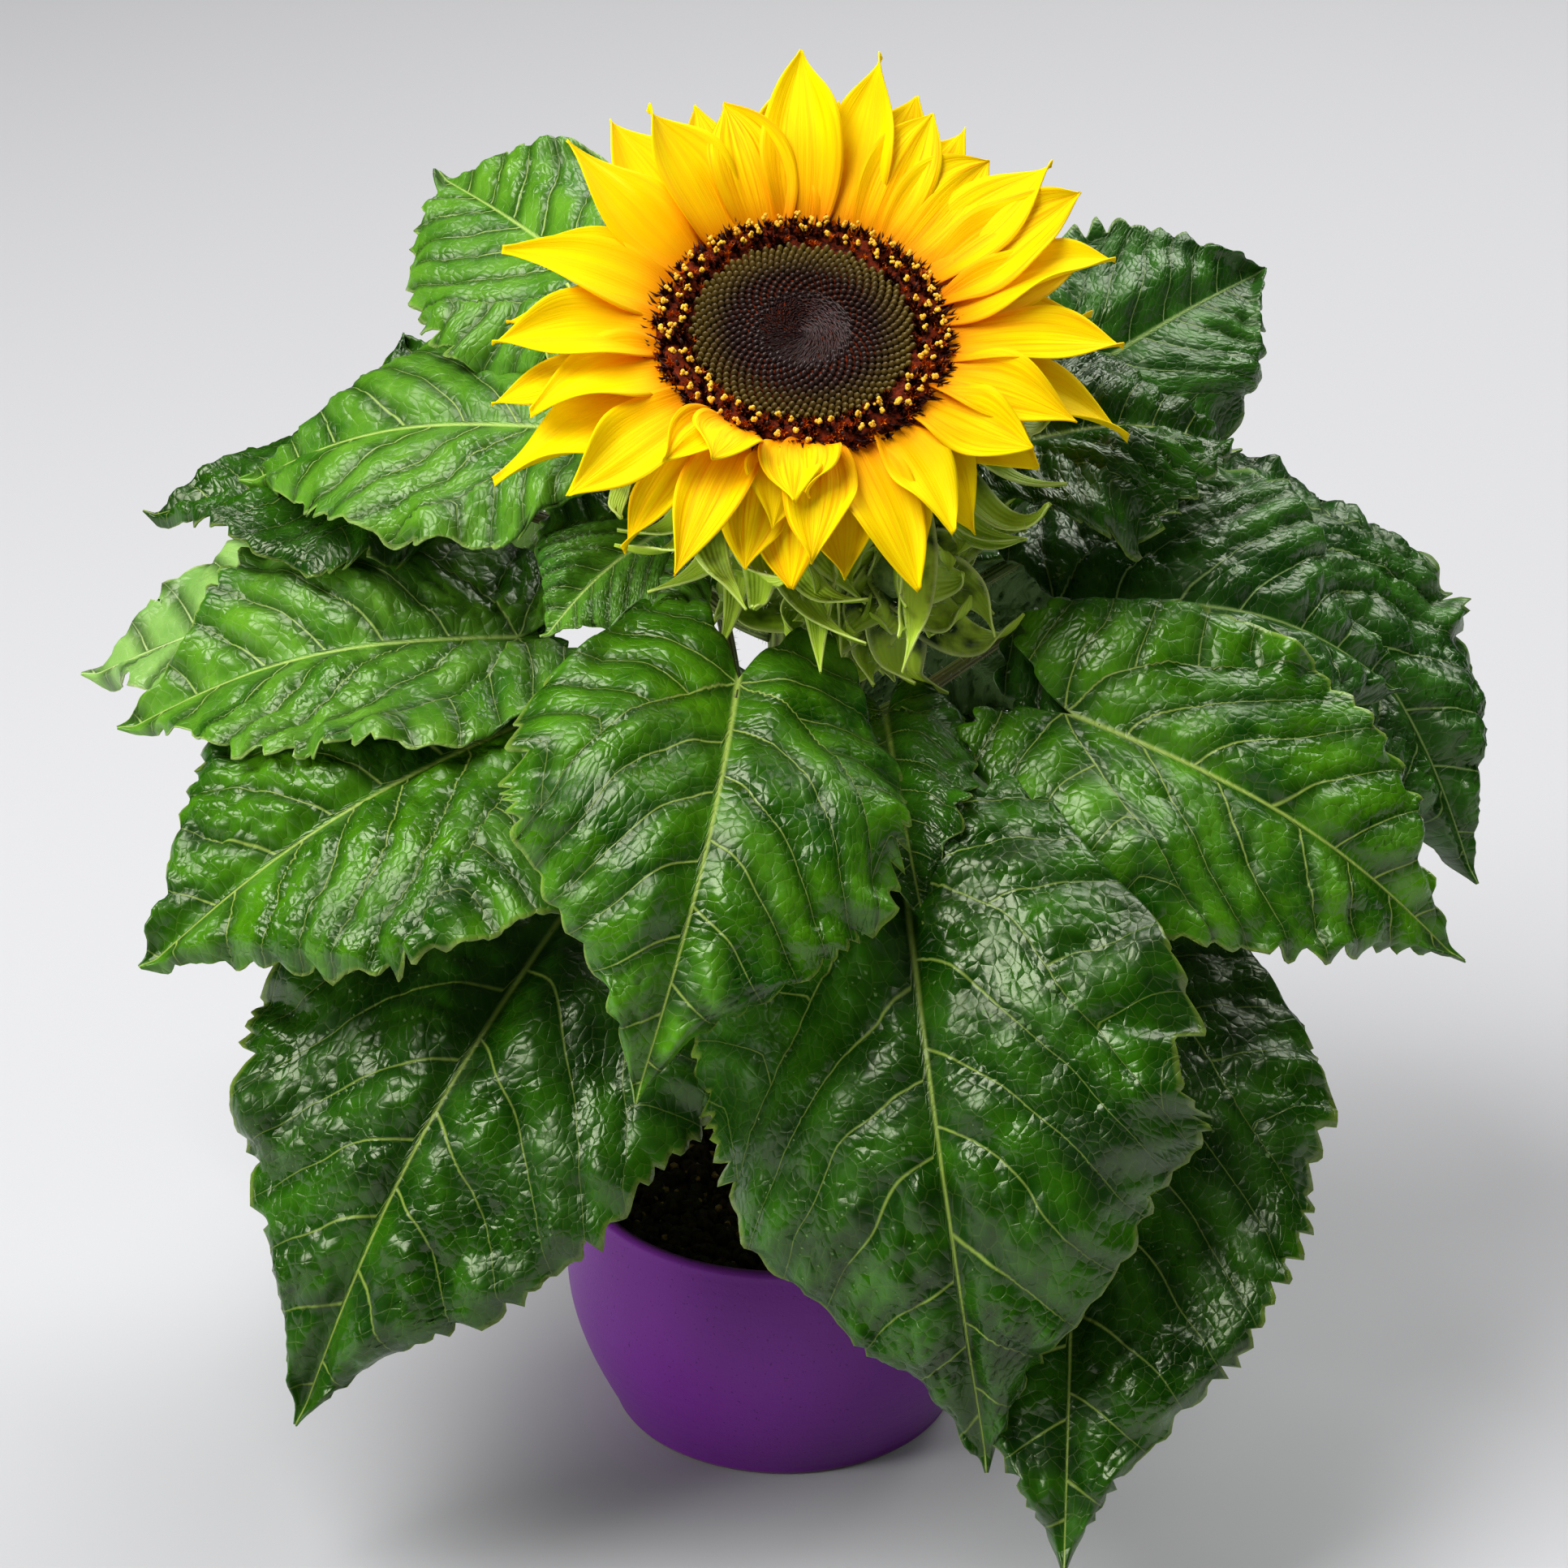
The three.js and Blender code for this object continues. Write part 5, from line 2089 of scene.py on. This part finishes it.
@dataclass(frozen=True)
class Studio:
    """The pale floor, the soft lights and the camera.

    Attributes:
        eye: where the camera stands, in metres.
        target: what it looks at, in metres.
        lens: focal length in millimetres.
        sensor: width of the sensor in millimetres.
        floor_size: side of the floor, in metres.
        lit_height: height that the lights look at, in metres.
        world_strength: of the soft light from all round.
    """

    eye: Triple = (0.0, -1.1235, 0.751)
    target: Triple = (0.0, 0.0, 0.203)
    lens: float = 100.04
    sensor: float = 36.0
    floor_size: float = 14.0
    lit_height: float = 0.22
    world_strength: float = 0.12

    def build(self) -> None:
        """Sets up all of it."""
        self.build_camera()
        self.build_floor()
        self.build_light("key_light", (-0.8, -0.5, 1.9), 1.2, 46)
        self.build_light("back_light", (0.8, 1.4, 2.0), 1.6, 42)
        self.build_light("side_light", (-1.7, -0.6, 0.3), 0.6, 15, glints=False)
        self.build_light("fill_light", (1.5, -0.6, 1.7), 1.4, 6, glints=False)
        world = bpy.data.worlds.new("soft white studio")
        world.use_nodes = True
        back = world.node_tree.nodes["Background"]
        back.inputs["Color"].default_value = linear("F2F2F4")
        back.inputs["Strength"].default_value = self.world_strength
        world.cycles_visibility.glossy = False
        bpy.context.scene.world = world
        bpy.context.scene.view_settings.view_transform = "Standard"

    def build_camera(self) -> None:
        """The camera, at the photo's viewing angle."""
        data = bpy.data.cameras.new("camera")
        data.lens = self.lens
        data.sensor_width = self.sensor
        camera = bpy.data.objects.new("camera", data)
        bpy.context.scene.collection.objects.link(camera)
        camera.location = self.eye
        look = Vector(self.target) - Vector(self.eye)
        camera.rotation_euler = look.to_track_quat("-Z", "Y").to_euler()
        bpy.context.scene.camera = camera

    def build_floor(self) -> None:
        """A plain pale floor, wide enough to fill the view."""
        half = self.floor_size / 2
        mesh = bpy.data.meshes.new("floor")
        square = [(-half, -half, 0), (half, -half, 0), (half, half, 0), (-half, half, 0)]
        mesh.from_pydata(square, [], [(0, 1, 2, 3)])
        material, _, shader = new_material("matt white paper")
        feed(shader, {"Base Color": linear("C6C6C8"), "Roughness": 0.9, "Specular IOR Level": 0.2})
        mesh.materials.append(material)
        floor = bpy.data.objects.new("floor", mesh)
        bpy.context.scene.collection.objects.link(floor)

    def build_light(
        self, name: str, place: Triple, size: float, power: float, glints: bool = True
    ) -> None:
        """A square soft light that looks at the plant.

        Args:
            name: of the light.
            place: where it is, in metres.
            size: side of the square, in metres.
            power: in watts.
            glints: whether it is mirrored in the glossy leaves.
        """
        data = bpy.data.lights.new(name, "AREA")
        data.size = size
        data.energy = power
        light = bpy.data.objects.new(name, data)
        bpy.context.scene.collection.objects.link(light)
        light.visible_glossy = glints
        light.location = place
        look = Vector((0, 0, self.lit_height)) - Vector(place)
        light.rotation_euler = look.to_track_quat("-Z", "Y").to_euler()


# One leaf to a node, the ones that show first: name, knee, tip, width, foot, roll, bow, drape.
LEAVES = (
    Leaf("front_centre", (-68, 85, 212), (-70, 160, 68), 136, 150, 30, 0.16, 0.25,
         LeafTone.DARK, pucker=1.1, sway=-5),
    Leaf("front_left", (-100, 66, 268), (-105, 150, 180), 104, 205, -25, 0.18, 0.2,
         LeafTone.FULL, pucker=0.8),
    Leaf("lower_left", (-146, 72, 187), (-140, 178, 59), 130, 130, -25, 0.14, 0.15,
         LeafTone.DARK),
    Leaf("left_middle", (-166, 75, 233), (-161, 190, 176), 126, 172, -20, 0.08, 0.1,
         LeafTone.FULL, pucker=1.1),
    Leaf("left_upper", (178, 76, 250), (176, 194, 214), 90, 190, -24, 0.1, -0.15,
         LeafTone.LIGHT),
    Leaf("left_far", (146, 117, 238), (155, 241, 191), 100, 180, -20, 0.06, 0.1,
         LeafTone.PALE, pucker=0.6, mesh=LeafMesh.PLAIN),
    Leaf("left_dark", (156, 112, 279), (165, 194, 267), 72, 262, -8, 0.06, 0.15,
         LeafTone.DARK, mesh=LeafMesh.PLAIN),
    Leaf("left_light", (170, 60, 310), (163, 166, 277), 84, 250, -25, 0.1, 0.1,
         LeafTone.LIGHT, pucker=0.7),
    Leaf("left_top", (140, 70, 341), (131, 157, 348), 86, 268, -25, 0.03, 0.12,
         LeafTone.LIGHT, pucker=0.7),
    Leaf("left_small", (142, 106, 289), (134, 166, 296), 55, 256, 10, 0, 0.2,
         LeafTone.DARK, mesh=LeafMesh.PLAIN),
    Leaf("young_left", (-162, 36, 288), (-152, 76, 265), 56, 264, -20, 0.1, 0.2,
         LeafTone.LIGHT, ruffle=1.5, mesh=LeafMesh.PLAIN),
    Leaf("right_top", (40, 112, 301), (42, 197, 313), 74, 256, 45, 0.08, 0.15,
         LeafTone.GREY, pucker=0.6),
    Leaf("right_small", (6, 64, 307), (17, 138, 290), 68, 262, 24, 0.12, 0.2,
         LeafTone.DARK, mesh=LeafMesh.PLAIN),
    Leaf("right_upper", (0, 80, 261), (6, 182, 223), 116, 218, 31, 0.16, 0.2,
         LeafTone.GREY, pucker=1.3, ruffle=6),
    Leaf("right_front", (-24, 87, 243), (-15, 198, 172), 92, 190, 42, 0.15, 0.05,
         LeafTone.FULL, pucker=0.8),
    Leaf("right_far", (27, 142, 264), (6, 207, 158), 100, 238, 4, 0.12, 0.15,
         LeafTone.GREY, pucker=1.3, ruffle=7, twist=-35),
    Leaf("centre_right", (-46, 40, 240), (-68, 100, 206), 46, 205, 14, 0.1, 0.2,
         LeafTone.DARK, mesh=LeafMesh.PLAIN),
    Leaf("right_inner", (52, 60, 236), (32, 88, 204), 80, 200, -85, 0.08, 0.2,
         LeafTone.DARK, ruffle=2, mesh=LeafMesh.PLAIN),
    Leaf("lower_right", (-30, 96, 173), (-66, 184, 48), 132, 136, 0, 0.08, 0.2,
         LeafTone.DARK),
    Leaf("back_low_left", (136, 84, 190), (138, 165, 86), 118, 140, 0, 0.14, 0.2,
         LeafTone.DARK, mesh=LeafMesh.PLAIN),
    Leaf("back_low_middle", (97, 92, 200), (95, 182, 103), 118, 132, 0, 0.14, 0.2,
         LeafTone.DARK, mesh=LeafMesh.PLAIN),
    Leaf("back_low_right", (56, 86, 192), (54, 166, 84), 122, 145, 0, 0.14, 0.2,
         LeafTone.DARK, mesh=LeafMesh.PLAIN),
    Leaf("back_middle_left", (110, 70, 250), (114, 175, 184), 110, 172, 0, 0.12, 0.2,
         LeafTone.FULL, mesh=LeafMesh.PLAIN),
    Leaf("back_middle_right", (74, 72, 262), (68, 168, 196), 112, 210, -8, 0.12, 0.06,
         LeafTone.FULL, mesh=LeafMesh.PLAIN),
    Leaf("back_upper_left", (104, 64, 292), (108, 146, 256), 72, 240, 0, 0.12, 0.2,
         LeafTone.FULL, mesh=LeafMesh.PLAIN),
    Leaf("back_top", (84, 60, 326), (80, 146, 302), 84, 258, 0, 0.1, 0.2,
         LeafTone.LIGHT, mesh=LeafMesh.PLAIN),
)


def main() -> None:
    """Builds the studio, the pot, the greenery and the flower."""
    logging.basicConfig(level=logging.INFO, format="%(name)s %(message)s")
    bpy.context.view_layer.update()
    Studio().build()
    PotAndSoil().build()
    Greenery(LEAVES).build()
    Flower().build()


if __name__ == "__main__":
    main()
